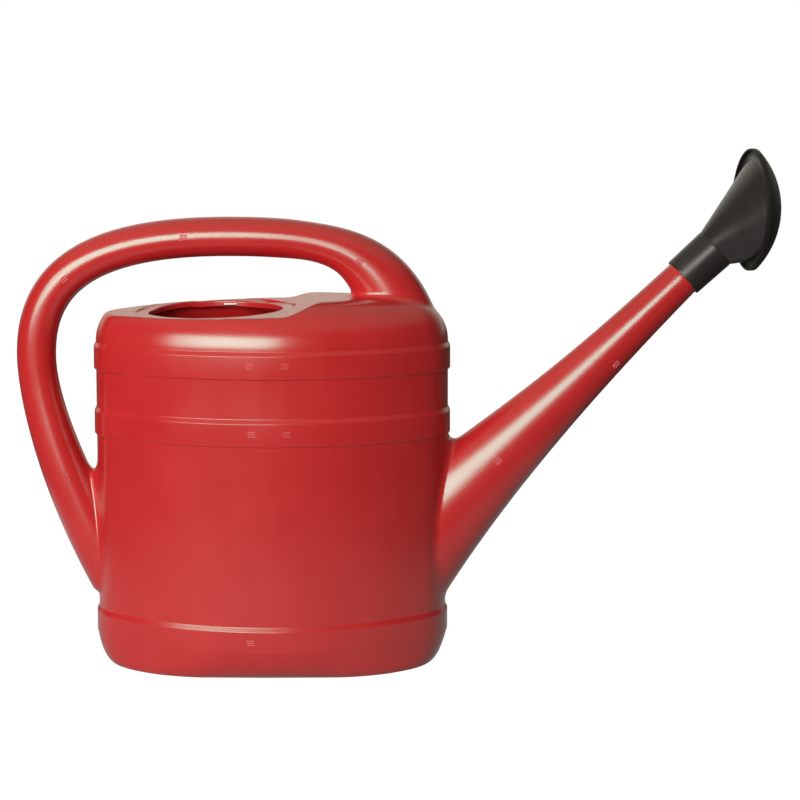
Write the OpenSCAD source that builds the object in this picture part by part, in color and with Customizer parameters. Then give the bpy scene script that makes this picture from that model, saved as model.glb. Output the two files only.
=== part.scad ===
// Garden watering can: a blow-moulded tank with its handle and spout, and a rose that turns on the
// spout's tip. Millimetres, +Z up, origin at the centre of the base. The spout points along +X and
// the mould's parting plane is y = 0.

/* [Tank] */
// Length of the tank over its plain wall at half height
tank_l = 287; // [255:1:320]
// Depth of the tank over its plain wall at half height
tank_d = 156.4; // [144:0.2:176]
// Height of the tank to the flat of its crown
tank_h = 301; // [280:1:330]
// Thickness of the moulded wall
wall = 2.2; // [1.6:0.1:3]
// How much further out each side stands at the foot than at the crown
lean = 2; // [0:0.1:4]
// Radius that rounds the wall into the crown
crown_r = 35.5; // [30:0.5:42]
// Height over which the wall rounds into the base
foot_h = 24.5; // [18:0.5:30]
// How far the base is drawn in from the wall
foot_in = 13; // [8:0.5:20]

/* [Bands] */
// How far the raised bands stand out from the wall
band_out = 1.8; // [0.8:0.1:2.6]
// Height of each of the two upper bands
band_h = 22; // [16:1:28]
// Height of the slope that ends a band at its top
band_slope = 3.5; // [1.5:0.5:6]
// Distance between the top edges of the two upper bands
band_pitch = 53; // [40:1:64]
// Plain wall between the upper band and the crown
band_gap = 0.4; // [0.4:0.1:6]
// Top edge of the foot band
foot_band_h = 45.6; // [38:0.2:54]
// Step where the foot's rounding begins
foot_step = 0.5; // [0.2:0.1:1]

/* [Filler] */
// Radius of the filler opening
filler_r = 54.5; // [46:0.5:56]
// How far the filler's centre lies behind the tank's centre
filler_back = 45; // [38:1:50]
// Radius of the shallow recess round the filler
recess_r = 65; // [62:0.5:67]
// Depth of that recess at the filler's centre, under the deck's front end
recess_depth = 2.2; // [2:0.1:4]
// Slope of the recess and the filler's rim, rising to the front, in degrees
filler_tilt = 2.2; // [0:0.1:4]
// Depth of the deck's front end under the crown
deck_drop = 9; // [7:0.1:12]
// Slope of the deck, rising to the front, in degrees
deck_tilt = 1.4; // [0:0.1:2]
// Length of the ramp from the deck to the crown
ramp_l = 30; // [20:1:36]
// Deck between the filler and the ramp
ramp_gap = 1.5; // [1:0.5:6]
// Width of the tag slot behind the filler
slot_w = 13; // [8:1:20]
// Height of the tag slot
slot_h = 2; // [1.6:0.2:3]
// Rim left over the tag slot
slot_roof = 0.9; // [0.6:0.1:1.4]

/* [Handle] */
// Radius of the grip
grip_r = 15.8; // [13:0.2:18]
// Height of the grip's top over the crown
handle_rise = 64.5; // [54:0.5:80]
// How far the grip's back stands out behind the tank's wall
handle_reach = 64.5; // [56:0.5:80]
// How far behind the tank's front wall the handle's middle enters the crown
root_back = 32.5; // [31:0.5:40]
// How far the handle leans back from upright as it leaves the crown, in degrees
root_lean = 14; // [8:1:20]
// Radius of the handle, along the can, where it leaves the crown
root_r = 29; // [24:0.5:30]
// Radius of the handle, across the can, where it leaves the crown
root_side_r = 21; // [17:0.5:24]
// How far the highest point of the grip lies behind the tank's centre
grip_back = 35; // [25:1:45]
// Height at which the handle's back stands upright
back_z = 252; // [235:1:265]
// Radius of the handle, along the can, at its lower end
tail_r = 22; // [18:0.5:24]
// Radius of the handle, across the can, at its lower end
tail_side_r = 23; // [18:0.5:26]
// Height of the lower end's middle at the tank's wall
tail_z = 93; // [86:1:100]
// Slope of the lower end, in degrees
tail_angle = 61; // [56:1:66]

/* [Spout] */
// How far the tip's shoulder stands out in front of the tank's wall
spout_reach = 190.4; // [160:0.2:230]
// Height of the tip's shoulder
spout_rise = 316; // [270:1:350]
// Slope of the tip, in degrees
tip_angle = 43; // [36:0.5:50]
// Radius of the spout at its shoulder
shoulder_r = 14.9; // [14:0.1:17]
// Radius of the spigot that carries the rose
spigot_r = 14.1; // [12.5:0.1:14.6]
// Length of the spigot
spigot_l = 29; // [20:1:34]
// Half of the spout's width across the can at its root
spout_side_r = 30; // [22:0.5:31]
// Height of the spout's lower edge where it leaves the tank's wall
spout_low = 54; // [50:1:70]
// Height of the spout's upper edge where it leaves the tank's wall
spout_high = 177; // [150:1:184]
// Slope of the spout's upper edge at its root, in degrees
high_angle = 36; // [30:1:42]
// Slope of the spout's lower edge at its root, in degrees
low_angle = 60; // [54:1:64]

/* [Rose] */
// Clearance between the spigot and the rose's socket, on the radius
turn_gap = 0.05; // [0.02:0.01:0.1]
// End clearance of the rose's socket at the shoulder and at the spigot's end
end_gap = 0.3; // [0.2:0.1:0.6]
// Length of the socket
socket_l = 35; // [32:1:40]
// Radius of the socket at its mouth
socket_r = 17; // [16:0.1:18]
// Radius of the socket at the funnel
collar_r = 17.6; // [16.5:0.1:20]
// Angle from the socket's axis to the rose's face, in degrees
rose_bend = 43; // [25:1:55]
// Distance from the socket's mouth to the rose's face, along the socket
rose_l = 75; // [70:1:90]
// How far the face's centre stands above the socket's axis
face_lift = 5.2; // [0:0.2:10]
// Angle by which the rose is turned on the spigot, in degrees
rose_turned = 6; // [-20:1:20]
// Radius of the face cap
face_r = 49; // [44:0.5:56]
// Depth of the cap's skirt
skirt_h = 3.5; // [3.5:0.5:8]
// Height of the face's dome over the skirt
dome_h = 20; // [10:0.5:22]
// Thickness of the rose's walls
rose_wall = 2; // [1.6:0.1:2.6]
// Diameter of the spray holes
hole_d = 2; // [1.2:0.1:2.6]
// Distance from one ring of spray holes to the next
hole_pitch = 7.6; // [6:0.2:8]
// Number of rings of spray holes round the middle one
hole_rings = 5; // [3:1:5]

/* [Hidden] */

$fn = 96;
loft_sides = 28;
handle_rings = 13;
spout_rings = 18;
funnel_sides = 64;
// Overshoot of a cutter past the face that it cuts
over = 1;

red = [0.79, 0.14, 0.15];
black = [0.16, 0.15, 0.14];

// The tank's plan is a four-centre oval set out on 3-4-5 triangles: the end centres lie 3 units
// from the middle, the side centres 4 units, and the end and side radii differ by 5 units.
// All of them are kept to whole hundredths, so that the four arcs meet exactly.
unit = round(25 * (tank_l - tank_d)) / 100;
half_l = round(50 * tank_l) / 100;
half_d = half_l - 2 * unit;
end_centre = 3 * unit;
side_centre = 4 * unit;
end_r = half_l - end_centre;
side_r = end_r + 5 * unit;

crown_z = tank_h - crown_r;
// Slope with which the foot's curve leaves the wall, as its share of foot_in, and its chords
foot_lead = 0.2 * foot_in;
foot_steps = 6;
upper_band_z = crown_z - band_gap;
lower_band_z = upper_band_z - band_pitch;

deck_z = tank_h - deck_drop;
ramp_x = filler_r + ramp_gap;
ramp_steps = 8;

// How far the spout runs on inside the tank before the tank's outer form trims it
root_in = 14;
root_sink = 4;
tail_sink = 47;
tip = [half_l + spout_reach, 0, spout_rise];
spigot_in = 12;
throat_r = spigot_r - wall;

// The funnel's flange and the pocket that takes it in the face cap
flange_fit = 0.1;
flange_r = face_r - rose_wall - flange_fit;
flange_t = 2.2;
flange_z = 0.8;

function lerp(a, b, t) = a + (b - a) * t;
function smooth(t) = let (u = min(max(t, 0), 1)) u * u * (3 - 2 * u);
function heading(angle) = [cos(angle), sin(angle)];

// A point and the direction of a cubic curve, at t from 0 to 1
function curve(p, t) =
    pow(1 - t, 3) * p[0] + 3 * t * pow(1 - t, 2) * p[1] + 3 * t * t * (1 - t) * p[2] + pow(t, 3) * p[3];
function curve_heading(p, t) =
    let (d = pow(1 - t, 2) * (p[1] - p[0]) + 2 * t * (1 - t) * (p[2] - p[1]) + t * t * (p[3] - p[2]))
    d / norm(d);

// A cubic curve from a to b that leaves and arrives at the given angles. Each pull says how far it
// keeps to its end's direction, as a share of the chord.
function rail(a, a_angle, a_pull, b, b_angle, b_pull) =
    let (chord = norm(b - a))
    [a, a + a_pull * chord * heading(a_angle), b - b_pull * chord * heading(b_angle), b];

// Closed solid through rings of points that all have the same count
module loft(rings) {
    sides = len(rings[0]);
    last = len(rings) - 1;
    points = [for (points_of_ring = rings) each points_of_ring];
    sides_faces = [
        for (i = [0 : last - 1], j = [0 : sides - 1])
            let (a = i * sides + j, b = i * sides + (j + 1) % sides)
            each [[a, b, a + sides], [b, b + sides, a + sides]]
    ];
    start_face = [for (j = [sides - 1 : -1 : 0]) j];
    end_face = [for (j = [0 : sides - 1]) last * sides + j];
    polyhedron(points, concat([start_face], sides_faces, [end_face]), convexity = 8);
}

// Elliptical ring in a plane that stands across the can: its up vector lies in the x-z plane
function ring(centre, up, up_r, side_r, sides = loft_sides) =
    [for (j = [0 : sides - 1])
        let (a = 360 * (j + 0.5) / sides, p = centre + up * up_r * cos(a))
        [p[0], side_r * sin(a), p[1]]];

// How far the wall stands out from its place at half height, to a whole thousandth
function wall_x(z) = round(1000 * lean * (0.5 - z / tank_h)) / 1000;

// Foot's curve from the wall down to the base, as the place of each point out from the arc's centre
function foot_curve(inset) =
    let (draw = foot_in - foot_lead)
    [for (i = [foot_steps : -1 : 0])
        let (a = 90 * i / foot_steps)
        [
            round(1000 * (draw * (cos(a) - 1) - foot_lead * sin(a))) / 1000,
            max(foot_h * (1 - sin(a)), inset)
        ]];

// Raised band from z0 up to its top edge at z1
function band(z0, z1, out) =
    [[wall_x(z0), z0], [wall_x(z0) + out, z0], [wall_x(z1) + out, z1 - band_slope], [wall_x(z1), z1]];

// Half section of the tank, from an arc's centre out to its wall, drawn in by the inset
module half_section(radius, inset) {
    out = inset > 0 ? 0 : band_out;
    step = inset > 0 ? 0 : foot_step;
    reach = radius - inset;
    foot_x = wall_x(foot_h) + out;
    wall_points = concat(
        [for (p = foot_curve(inset)) [foot_x - step + p[0], p[1]]],
        [[foot_x, foot_h]],
        [[wall_x(foot_band_h) + out, foot_band_h - band_slope], [wall_x(foot_band_h), foot_band_h]],
        band(lower_band_z - band_h, lower_band_z, out),
        band(upper_band_z - band_h, upper_band_z, out),
        [[wall_x(crown_z), crown_z]]
    );
    crown_x = radius + wall_x(crown_z) - crown_r;
    polygon(concat([[0, inset]], [for (p = wall_points) [reach + p[0], p[1]]], [[0, crown_z]]));
    translate([0, crown_z]) square([crown_x, crown_r - inset]);
    intersection() {
        translate([crown_x, crown_z]) circle(r = crown_r - inset);
        translate([crown_x, crown_z]) square(crown_r);
    }
}

// Solid tank in its four-centre oval, drawn in by the inset. The end rounds are whole: they lie
// inside the sides, which span the oval between the lines through their own and the end centres.
module oval(inset) {
    lap = end_r / 4;
    spread = tank_d / 4;
    corner_x = end_centre + 3 * spread;
    corner_y = 4 * spread;
    for (end = [-1, 1]) translate([end * end_centre, 0, 0]) rotate_extrude() half_section(end_r, inset);
    for (side = [-1, 1])
        intersection() {
            translate([0, -side * side_centre, 0]) rotate_extrude() half_section(side_r, inset);
            translate([0, 0, -over]) linear_extrude(tank_h + 2 * over)
                polygon([
                    [0, -side * lap], [end_centre, 0], [corner_x, side * corner_y],
                    [-corner_x, side * corner_y], [-end_centre, 0]
                ]);
        }
}

// Places its children on the deck at the filler's centre, with +Z square to the filler's rim
module at_filler() {
    translate([-filler_back, 0, deck_z]) rotate([0, -filler_tilt, 0]) children();
}

// Everything above the deck, its ramp and the recess, lowered by the inset
module deck_space(inset) {
    ramp_end = ramp_x + ramp_l;
    ramp = [for (i = [0 : ramp_steps])
        let (u = i / ramp_steps)
        [ramp_x + u * ramp_l, deck_drop * smooth(u)]];
    rear_drop = round(1000 * (tank_l + ramp_x) * tan(deck_tilt)) / 1000;
    outline = concat([[-tank_l, -rear_drop]], ramp, [[ramp_end, crown_r], [-tank_l, crown_r]]);
    translate([-filler_back, 0, deck_z - inset]) rotate([90, 0, 0])
        linear_extrude(tank_d + 2 * over, center = true) polygon(outline);
    at_filler() translate([0, 0, -recess_depth - inset]) cylinder(r = recess_r + inset, h = crown_r);
}

// The tank's solid form, drawn in by the inset
module tank_form(inset) {
    difference() {
        oval(inset);
        deck_space(inset);
    }
}

module tank() {
    color(red) difference() {
        tank_form(0);
        tank_form(wall);
        at_filler() translate([0, 0, -crown_r]) cylinder(r = filler_r, h = 2 * crown_r);
        tag_slot();
        handle_ways();
        spout_way();
    }
}

// Slot through the rim behind the filler
module tag_slot() {
    at_filler() translate([slot_w / 6, filler_r - 2 * wall, -recess_depth - slot_roof - slot_h])
        cube([slot_w, half_d - filler_r + 2 * wall, slot_h]);
}

// Round ways from the tank into both ends of the hollow handle
module handle_ways() {
    translate([root_x, 0, crown_z]) rotate([0, -root_lean, 0])
        cylinder(r = root_side_r - 2 * wall, h = 2 * crown_r);
    translate([-half_l - root_in, 0, tail_z]) rotate([0, 90, 0])
        cylinder(r = tail_r - 3 * wall, h = 2 * root_in);
}

// Tall way from the tank into the spout
module spout_way() {
    way_r = spout_side_r - 4 * wall;
    low = spout_low + way_r + 4 * wall;
    high = spout_high - way_r - 2 * wall;
    translate([half_l - root_in, 0, low]) {
        for (z = [0, high - low])
            translate([0, 0, z]) rotate([0, 90, 0]) cylinder(r = way_r, h = 2 * root_in);
        translate([0, -way_r, 0]) cube([2 * root_in, 2 * way_r, high - low]);
    }
}

// The handle's centre line: crown to grip, grip to back, back to lower end. Both ends lie inside the
// tank, whose outer form trims them.
root_x = half_l - root_back;
root_start = [root_x, crown_z] - root_sink * heading(90 + root_lean);
grip_top = [-grip_back, tank_h + handle_rise - grip_r];
grip_rear = [-(half_l + handle_reach - grip_r), back_z];
tail_end = [-half_l, tail_z] + tail_sink * heading(-tail_angle);
handle_line = [
    rail(root_start, 90 + root_lean, 0.47, grip_top, 180, 0.5),
    rail(grip_top, 180, 0.585, grip_rear, 270, 0.365),
    rail(grip_rear, 270, 0.15, tail_end, -tail_angle, 0.54)
];

function handle_radii(part, t) =
    part == 0 ? lerp([root_r, root_side_r], [grip_r, grip_r], smooth(t / 0.75)) :
    part == 1 ? [grip_r, grip_r] :
    lerp([grip_r, grip_r], [tail_r, tail_side_r], smooth(pow(t, 1.3)));

module handle_loft(inset) {
    rings = [for (part = [0 : 2], i = [(part == 0 ? 0 : 1) : handle_rings])
        let (
            t = i / handle_rings,
            along = curve_heading(handle_line[part], t),
            radii = handle_radii(part, t)
        )
        ring(curve(handle_line[part], t), [-along[1], along[0]], radii[0] - inset, radii[1] - inset)];
    loft(rings);
}

module handle() {
    color(red) difference() {
        handle_loft(0);
        handle_loft(wall);
        tank_form(0);
    }
}

// Edges of the spout in the parting plane, from inside the tank to the tip. The lower edge comes up
// to the tip a little more steeply than the tip itself.
tip_up = heading(90 + tip_angle);
tip_point = [tip[0], tip[2]];
tip_taper = 3.5;
upper_rail = rail([half_l - root_in, spout_high - root_in * tan(high_angle)], high_angle, 1 / 3,
    tip_point + shoulder_r * tip_up, tip_angle, 1 / 3);
lower_rail = rail([half_l - root_in, spout_low - root_in * tan(low_angle)], low_angle, 1 / 3,
    tip_point - shoulder_r * tip_up, tip_angle + tip_taper, 1 / 3);

module spout_loft(inset, end) {
    rings = [for (i = [0 : spout_rings])
        let (
            t = end * i / spout_rings,
            high = curve(upper_rail, t),
            low = curve(lower_rail, t),
            half = (high - low) / 2
        )
        ring(low + half, half / norm(half), norm(half) - inset,
            lerp(shoulder_r, spout_side_r, pow(1 - t, 2)) - inset)];
    loft(rings);
}

// Places its children at the tip's shoulder, with +Z along the tip
module at_tip() {
    translate(tip) rotate([0, 90 - tip_angle, 0]) children();
}

module spout() {
    color(red) difference() {
        union() {
            spout_loft(0, 1);
            at_tip() translate([0, 0, -spigot_in]) cylinder(r = spigot_r, h = spigot_in + spigot_l);
        }
        spout_loft(wall, 0.97);
        at_tip() translate([0, 0, -2 * spigot_in]) cylinder(r = throat_r, h = 2 * spigot_in + spigot_l + over);
        tank_form(0);
    }
}

// Places its children at the rose's mouth, turned with the rose
module at_rose() {
    at_tip() translate([0, 0, end_gap]) rotate([0, 0, rose_turned]) children();
}

// Places its children at the back of the face cap, with +Z square to the face
module at_face() {
    at_rose() translate([-face_lift, 0, rose_l]) rotate([0, rose_bend, 0]) children();
}

// Ring round the socket's axis, and a ring round the face's axis, in the rose's own frame
function socket_ring(z, r) =
    [for (j = [0 : funnel_sides - 1]) let (a = -360 * j / funnel_sides) [r * cos(a), r * sin(a), z]];
function face_ring(z, r) =
    [for (p = socket_ring(z, r))
        [
            -face_lift + p[0] * cos(rose_bend) + p[2] * sin(rose_bend),
            p[1],
            rose_l - p[0] * sin(rose_bend) + p[2] * cos(rose_bend)
        ]];

module rose_funnel() {
    bore_l = spigot_l;
    cone_r = flange_r - rose_wall;
    color(black) difference() {
        union() {
            at_rose() {
                cylinder(r1 = socket_r, r2 = collar_r, h = socket_l);
                loft([socket_ring(socket_l - 1, collar_r - 0.4), face_ring(flange_z + 1, cone_r)]);
            }
            at_face() translate([0, 0, flange_z]) cylinder(r = flange_r, h = flange_t);
        }
        at_rose() {
            translate([0, 0, -over]) cylinder(r = spigot_r + turn_gap, h = bore_l + over);
            cylinder(r = throat_r, h = socket_l + over);
            loft([
                socket_ring(socket_l - 1, throat_r + 0.5),
                face_ring(flange_z + flange_t + over, cone_r - rose_wall)
            ]);
        }
    }
}

// Half section of the face cap: skirt and dome over the flange's pocket and the hollow dome
module cap_section(ball_r, ball_z) {
    difference() {
        intersection() {
            square([face_r, skirt_h + dome_h + over]);
            translate([0, ball_z]) circle(r = ball_r);
        }
        translate([0, -over]) square([flange_r + flange_fit, flange_z + flange_t + over]);
        intersection() {
            translate([0, ball_z]) circle(r = ball_r - rose_wall);
            square([flange_r - rose_wall, skirt_h + dome_h]);
        }
    }
}

// Cap that snaps over the funnel's flange
module rose_face() {
    ball_r = (pow(face_r, 2) + pow(dome_h, 2)) / (2 * dome_h);
    ball_z = skirt_h + dome_h - ball_r;
    color(black) at_face() difference() {
        rotate_extrude() cap_section(ball_r, ball_z);
        spray_holes(ball_r, ball_z);
    }
}

// Rings of holes that stand square to the dome
module spray_holes(ball_r, ball_z) {
    translate([0, 0, ball_z])
        for (i = [0 : hole_rings], j = [0 : max(6 * i - 1, 0)])
            rotate([0, asin(i * hole_pitch / ball_r), 60 * (j + 0.5) / max(i, 1)])
                translate([0, 0, ball_r - 2 * rose_wall]) cylinder(d = hole_d, h = 3 * rose_wall, $fn = 24);
}

tank();
handle();
spout();
rose_funnel();
rose_face();
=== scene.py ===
"""Red garden watering can with a black rose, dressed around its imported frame.

The can's skin, handle and spout are one blow moulding; the rose is two injection mouldings that
turn together on the spout's tip. All sizes are in millimetres until a mesh is made.
"""

import logging
import math
from dataclasses import dataclass, field
from enum import Enum

import bpy
import numpy as np
from mathutils import Matrix, Vector


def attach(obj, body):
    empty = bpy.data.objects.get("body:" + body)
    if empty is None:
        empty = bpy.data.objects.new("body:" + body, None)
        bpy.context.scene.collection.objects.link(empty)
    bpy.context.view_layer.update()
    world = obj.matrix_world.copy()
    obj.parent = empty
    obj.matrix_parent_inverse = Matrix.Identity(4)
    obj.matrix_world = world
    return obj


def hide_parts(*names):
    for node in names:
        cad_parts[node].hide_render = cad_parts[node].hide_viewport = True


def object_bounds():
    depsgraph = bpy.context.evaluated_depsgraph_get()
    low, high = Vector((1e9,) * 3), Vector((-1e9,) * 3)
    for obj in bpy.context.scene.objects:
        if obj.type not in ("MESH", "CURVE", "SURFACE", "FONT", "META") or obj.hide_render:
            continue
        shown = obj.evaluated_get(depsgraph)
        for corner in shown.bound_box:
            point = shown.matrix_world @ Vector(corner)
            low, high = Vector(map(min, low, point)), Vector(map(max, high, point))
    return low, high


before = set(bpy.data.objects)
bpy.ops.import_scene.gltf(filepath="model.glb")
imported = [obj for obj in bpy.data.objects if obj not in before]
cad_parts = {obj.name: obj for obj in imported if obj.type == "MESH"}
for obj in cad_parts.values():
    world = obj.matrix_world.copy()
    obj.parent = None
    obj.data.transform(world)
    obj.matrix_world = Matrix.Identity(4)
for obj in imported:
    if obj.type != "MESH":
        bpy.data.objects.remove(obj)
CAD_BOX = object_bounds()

MM = 0.001
LOG = logging.getLogger("watering_can")
Array = np.ndarray
Number = float | np.ndarray
Socket = bpy.types.NodeSocket
Point = tuple[float, float, float]
Colour = tuple[float, float, float]


class Body(Enum):
    """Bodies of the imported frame."""

    CAN = "can"
    ROSE = "rose"


class Slot(Enum):
    """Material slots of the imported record."""

    CAN = "can_plastic"
    ROSE = "rose_plastic"


# ---------------------------------------------------------------------------------------------
# Curves and directions


def lerp(a: Number, b: Number, t: Number) -> Number:
    """Return the blend from a to b at t."""
    return a + (b - a) * t


def ease(t: Number) -> Number:
    """Return t eased at both ends, held from 0 to 1."""
    u = np.clip(t, 0.0, 1.0)
    return u * u * (3 - 2 * u)


def unit(v: Array) -> Array:
    """Return vectors at length one."""
    return v / np.linalg.norm(v, axis=-1, keepdims=True)


def heading(angle: float) -> Array:
    """Return the direction in the parting plane at an angle in degrees."""
    return np.array([math.cos(math.radians(angle)), math.sin(math.radians(angle))])


def slope(angle: float) -> float:
    """Return the rise over one unit of a slope in degrees."""
    return math.tan(math.radians(angle))


def soft_min(a: Array, b: Array, blend: Array) -> Array:
    """Return the lower of two heights with their crease rounded.

    Args:
        a: First heights.
        b: Second heights.
        blend: Height over which the crease is rounded.

    Returns:
        Array: The rounded lower heights.
    """
    h = np.maximum(blend - np.abs(a - b), 0.0) / blend
    return np.minimum(a, b) - h * h * blend / 4


def rail(a: Array, a_angle: float, a_pull: float, b: Array, b_angle: float, b_pull: float) -> Array:
    """Return the four control points of a cubic curve that leaves and arrives at set angles.

    Args:
        a: Start point.
        a_angle: Angle at the start, in degrees.
        a_pull: Share of the chord for which the curve keeps to its start angle.
        b: End point.
        b_angle: Angle at the end, in degrees.
        b_pull: Share of the chord for which the curve keeps to its end angle.

    Returns:
        Array: Control points, one a row.
    """
    chord = np.linalg.norm(b - a)
    return np.array([a, a + a_pull * chord * heading(a_angle), b - b_pull * chord * heading(b_angle), b])


def on_curve(p: Array, t: Array) -> tuple[Array, Array]:
    """Return the points and unit headings of a cubic curve.

    Args:
        p: Control points.
        t: Places along the curve, from 0 to 1.

    Returns:
        tuple[Array, Array]: Points and headings.
    """
    t = t[..., None]
    s = 1 - t
    place = s**3 * p[0] + 3 * t * s**2 * p[1] + 3 * t * t * s * p[2] + t**3 * p[3]
    along = s**2 * (p[1] - p[0]) + 2 * t * s * (p[2] - p[1]) + t * t * (p[3] - p[2])
    return place, unit(along)


def rounded_profile(corners: list[Point], steps: int = 5, hold: float = 0.5) -> Array:
    """Return a profile whose corners are rounded and held by rows close to each side.

    Args:
        corners: Place across, place along and corner radius of each corner.
        steps: Chords of each rounded corner.
        hold: Distance of the holding rows from a rounded corner.

    Returns:
        Array: Points of the profile.
    """
    pts = [np.array(c[:2], float) for c in corners]
    out = [pts[0]]
    for i in range(1, len(pts) - 1):
        radius = corners[i][2]
        before, after = unit(pts[i - 1] - pts[i]), unit(pts[i + 1] - pts[i])
        half = math.acos(float(np.clip(before @ after, -1, 1))) / 2
        if radius <= 0 or half > math.radians(89):
            out.append(pts[i])
            continue
        room = 0.45 * min(np.linalg.norm(pts[i - 1] - pts[i]), np.linalg.norm(pts[i + 1] - pts[i]))
        cut = min(radius / math.tan(half), room)
        a, b = pts[i] + before * cut, pts[i] + after * cut
        if room > cut + hold:
            out.append(a + before * hold)
        for k in range(steps + 1):
            t = k / steps
            out.append((1 - t) ** 2 * a + 2 * t * (1 - t) * pts[i] + t * t * b)
        if room > cut + hold:
            out.append(b + after * hold)
    out.append(pts[-1])
    return np.array(out)


# ---------------------------------------------------------------------------------------------
# Meshes


def piece_from_rows(name: str, rows: Array, poles: tuple[Array, Array] | None = None,
                    crease: float = 35.0) -> bpy.types.Object:
    """Return a closed piece made of rings of points.

    Args:
        name: Name of the piece.
        rows: Rings of points in millimetres, one ring a row, each run anticlockwise.
        poles: Points that close the first and the last ring, or None where the last ring joins the first.
        crease: Angle in degrees from which an edge is left sharp.

    Returns:
        bpy.types.Object: The new piece.
    """
    count, sides = rows.shape[:2]
    grid = np.arange(count * sides).reshape(count, sides)
    turned = np.roll(grid, -1, axis=1)
    low, low_next = (grid, turned) if poles is None else (grid[:-1], turned[:-1])
    high, high_next = np.roll(grid, -1, axis=0), np.roll(turned, -1, axis=0)
    if poles is not None:
        high, high_next = grid[1:], turned[1:]
    faces = np.stack([low, low_next, high_next, high], axis=-1).reshape(-1, 4).tolist()
    points = rows.reshape(-1, 3)
    if poles is not None:
        first, last = len(points), len(points) + 1
        points = np.vstack([points, poles[0], poles[1]])
        faces += [[int(b), int(a), first] for a, b in zip(grid[0], turned[0])]
        faces += [[int(a), int(b), last] for a, b in zip(grid[-1], turned[-1])]
    mesh = bpy.data.meshes.new(name)
    mesh.from_pydata((points * MM).tolist(), [], faces)
    return finished(name, mesh, crease)


def finished(name: str, mesh: bpy.types.Mesh, crease: float = 35.0) -> bpy.types.Object:
    """Return an object for a mesh, shaded smooth but for its sharp edges.

    Args:
        name: Name of the piece.
        mesh: Its mesh, in metres in the frame.
        crease: Angle in degrees from which an edge is left sharp.

    Returns:
        bpy.types.Object: The new piece.
    """
    mesh.polygons.foreach_set("use_smooth", [True] * len(mesh.polygons))
    mesh.set_sharp_from_angle(angle=math.radians(crease))
    mesh.update()
    return linked(bpy.data.objects.new(name, mesh))


def linked(made: bpy.types.Object) -> bpy.types.Object:
    """Return an object once it is linked to the scene."""
    bpy.context.scene.collection.objects.link(made)
    return made


def evaluated(piece: bpy.types.Object) -> bpy.types.Mesh:
    """Return the plain mesh that a piece's modifiers give.

    Args:
        piece: The piece.

    Returns:
        bpy.types.Mesh: The new mesh.
    """
    bpy.context.view_layer.update()
    graph = bpy.context.evaluated_depsgraph_get()
    return bpy.data.meshes.new_from_object(piece.evaluated_get(graph), depsgraph=graph)


def block(low: Point, high: Point) -> bpy.types.Object:
    """Return a box to cut with.

    Args:
        low: Its lowest corner in millimetres.
        high: Its highest corner in millimetres.

    Returns:
        bpy.types.Object: The box.
    """
    turns = ((0, 0), (1, 0), (1, 1), (0, 1))
    ends = np.array([low, high])
    rows = np.array([[(ends[i, 0], ends[j, 1], ends[k, 2]) for i, j in turns] for k in (0, 1)])
    middle = (ends[0] + ends[1]) / 2
    poles = tuple(np.array([middle[0], middle[1], z]) for z in ends[:, 2])
    return piece_from_rows("cutter", rows, poles)


def carved(piece: bpy.types.Object, cutter: bpy.types.Object) -> bpy.types.Object:
    """Return a piece with a cutter taken away from it, as one plain mesh.

    Args:
        piece: The piece.
        cutter: Closed shape, which is removed afterwards.

    Returns:
        bpy.types.Object: The carved piece.
    """
    cut = piece.modifiers.new("cut", "BOOLEAN")
    cut.object, cut.operation, cut.solver = cutter, "DIFFERENCE", "MANIFOLD"
    mesh = evaluated(piece)
    name = piece.name
    for old in (piece, cutter):
        bpy.data.objects.remove(old)
    return finished(name, mesh)


def dress(piece: bpy.types.Object, finish: "MouldedPlastic", body: Body, slot: Slot, *nodes: str) -> None:
    """Give a piece its finish and its body, and stand it in for CAD nodes.

    Args:
        piece: The piece.
        finish: Its finish.
        body: The body that it rides on.
        slot: Not used.
        nodes: CAD nodes that it stands for.
    """
    piece.data.materials.clear()
    piece.data.materials.append(finish.material())
    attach(piece, body.value)
    if nodes:
        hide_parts(*nodes)
    LOG.info("%s: %d faces on %s", piece.name, len(piece.data.polygons), body.value)


# ---------------------------------------------------------------------------------------------
# Node trees


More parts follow.
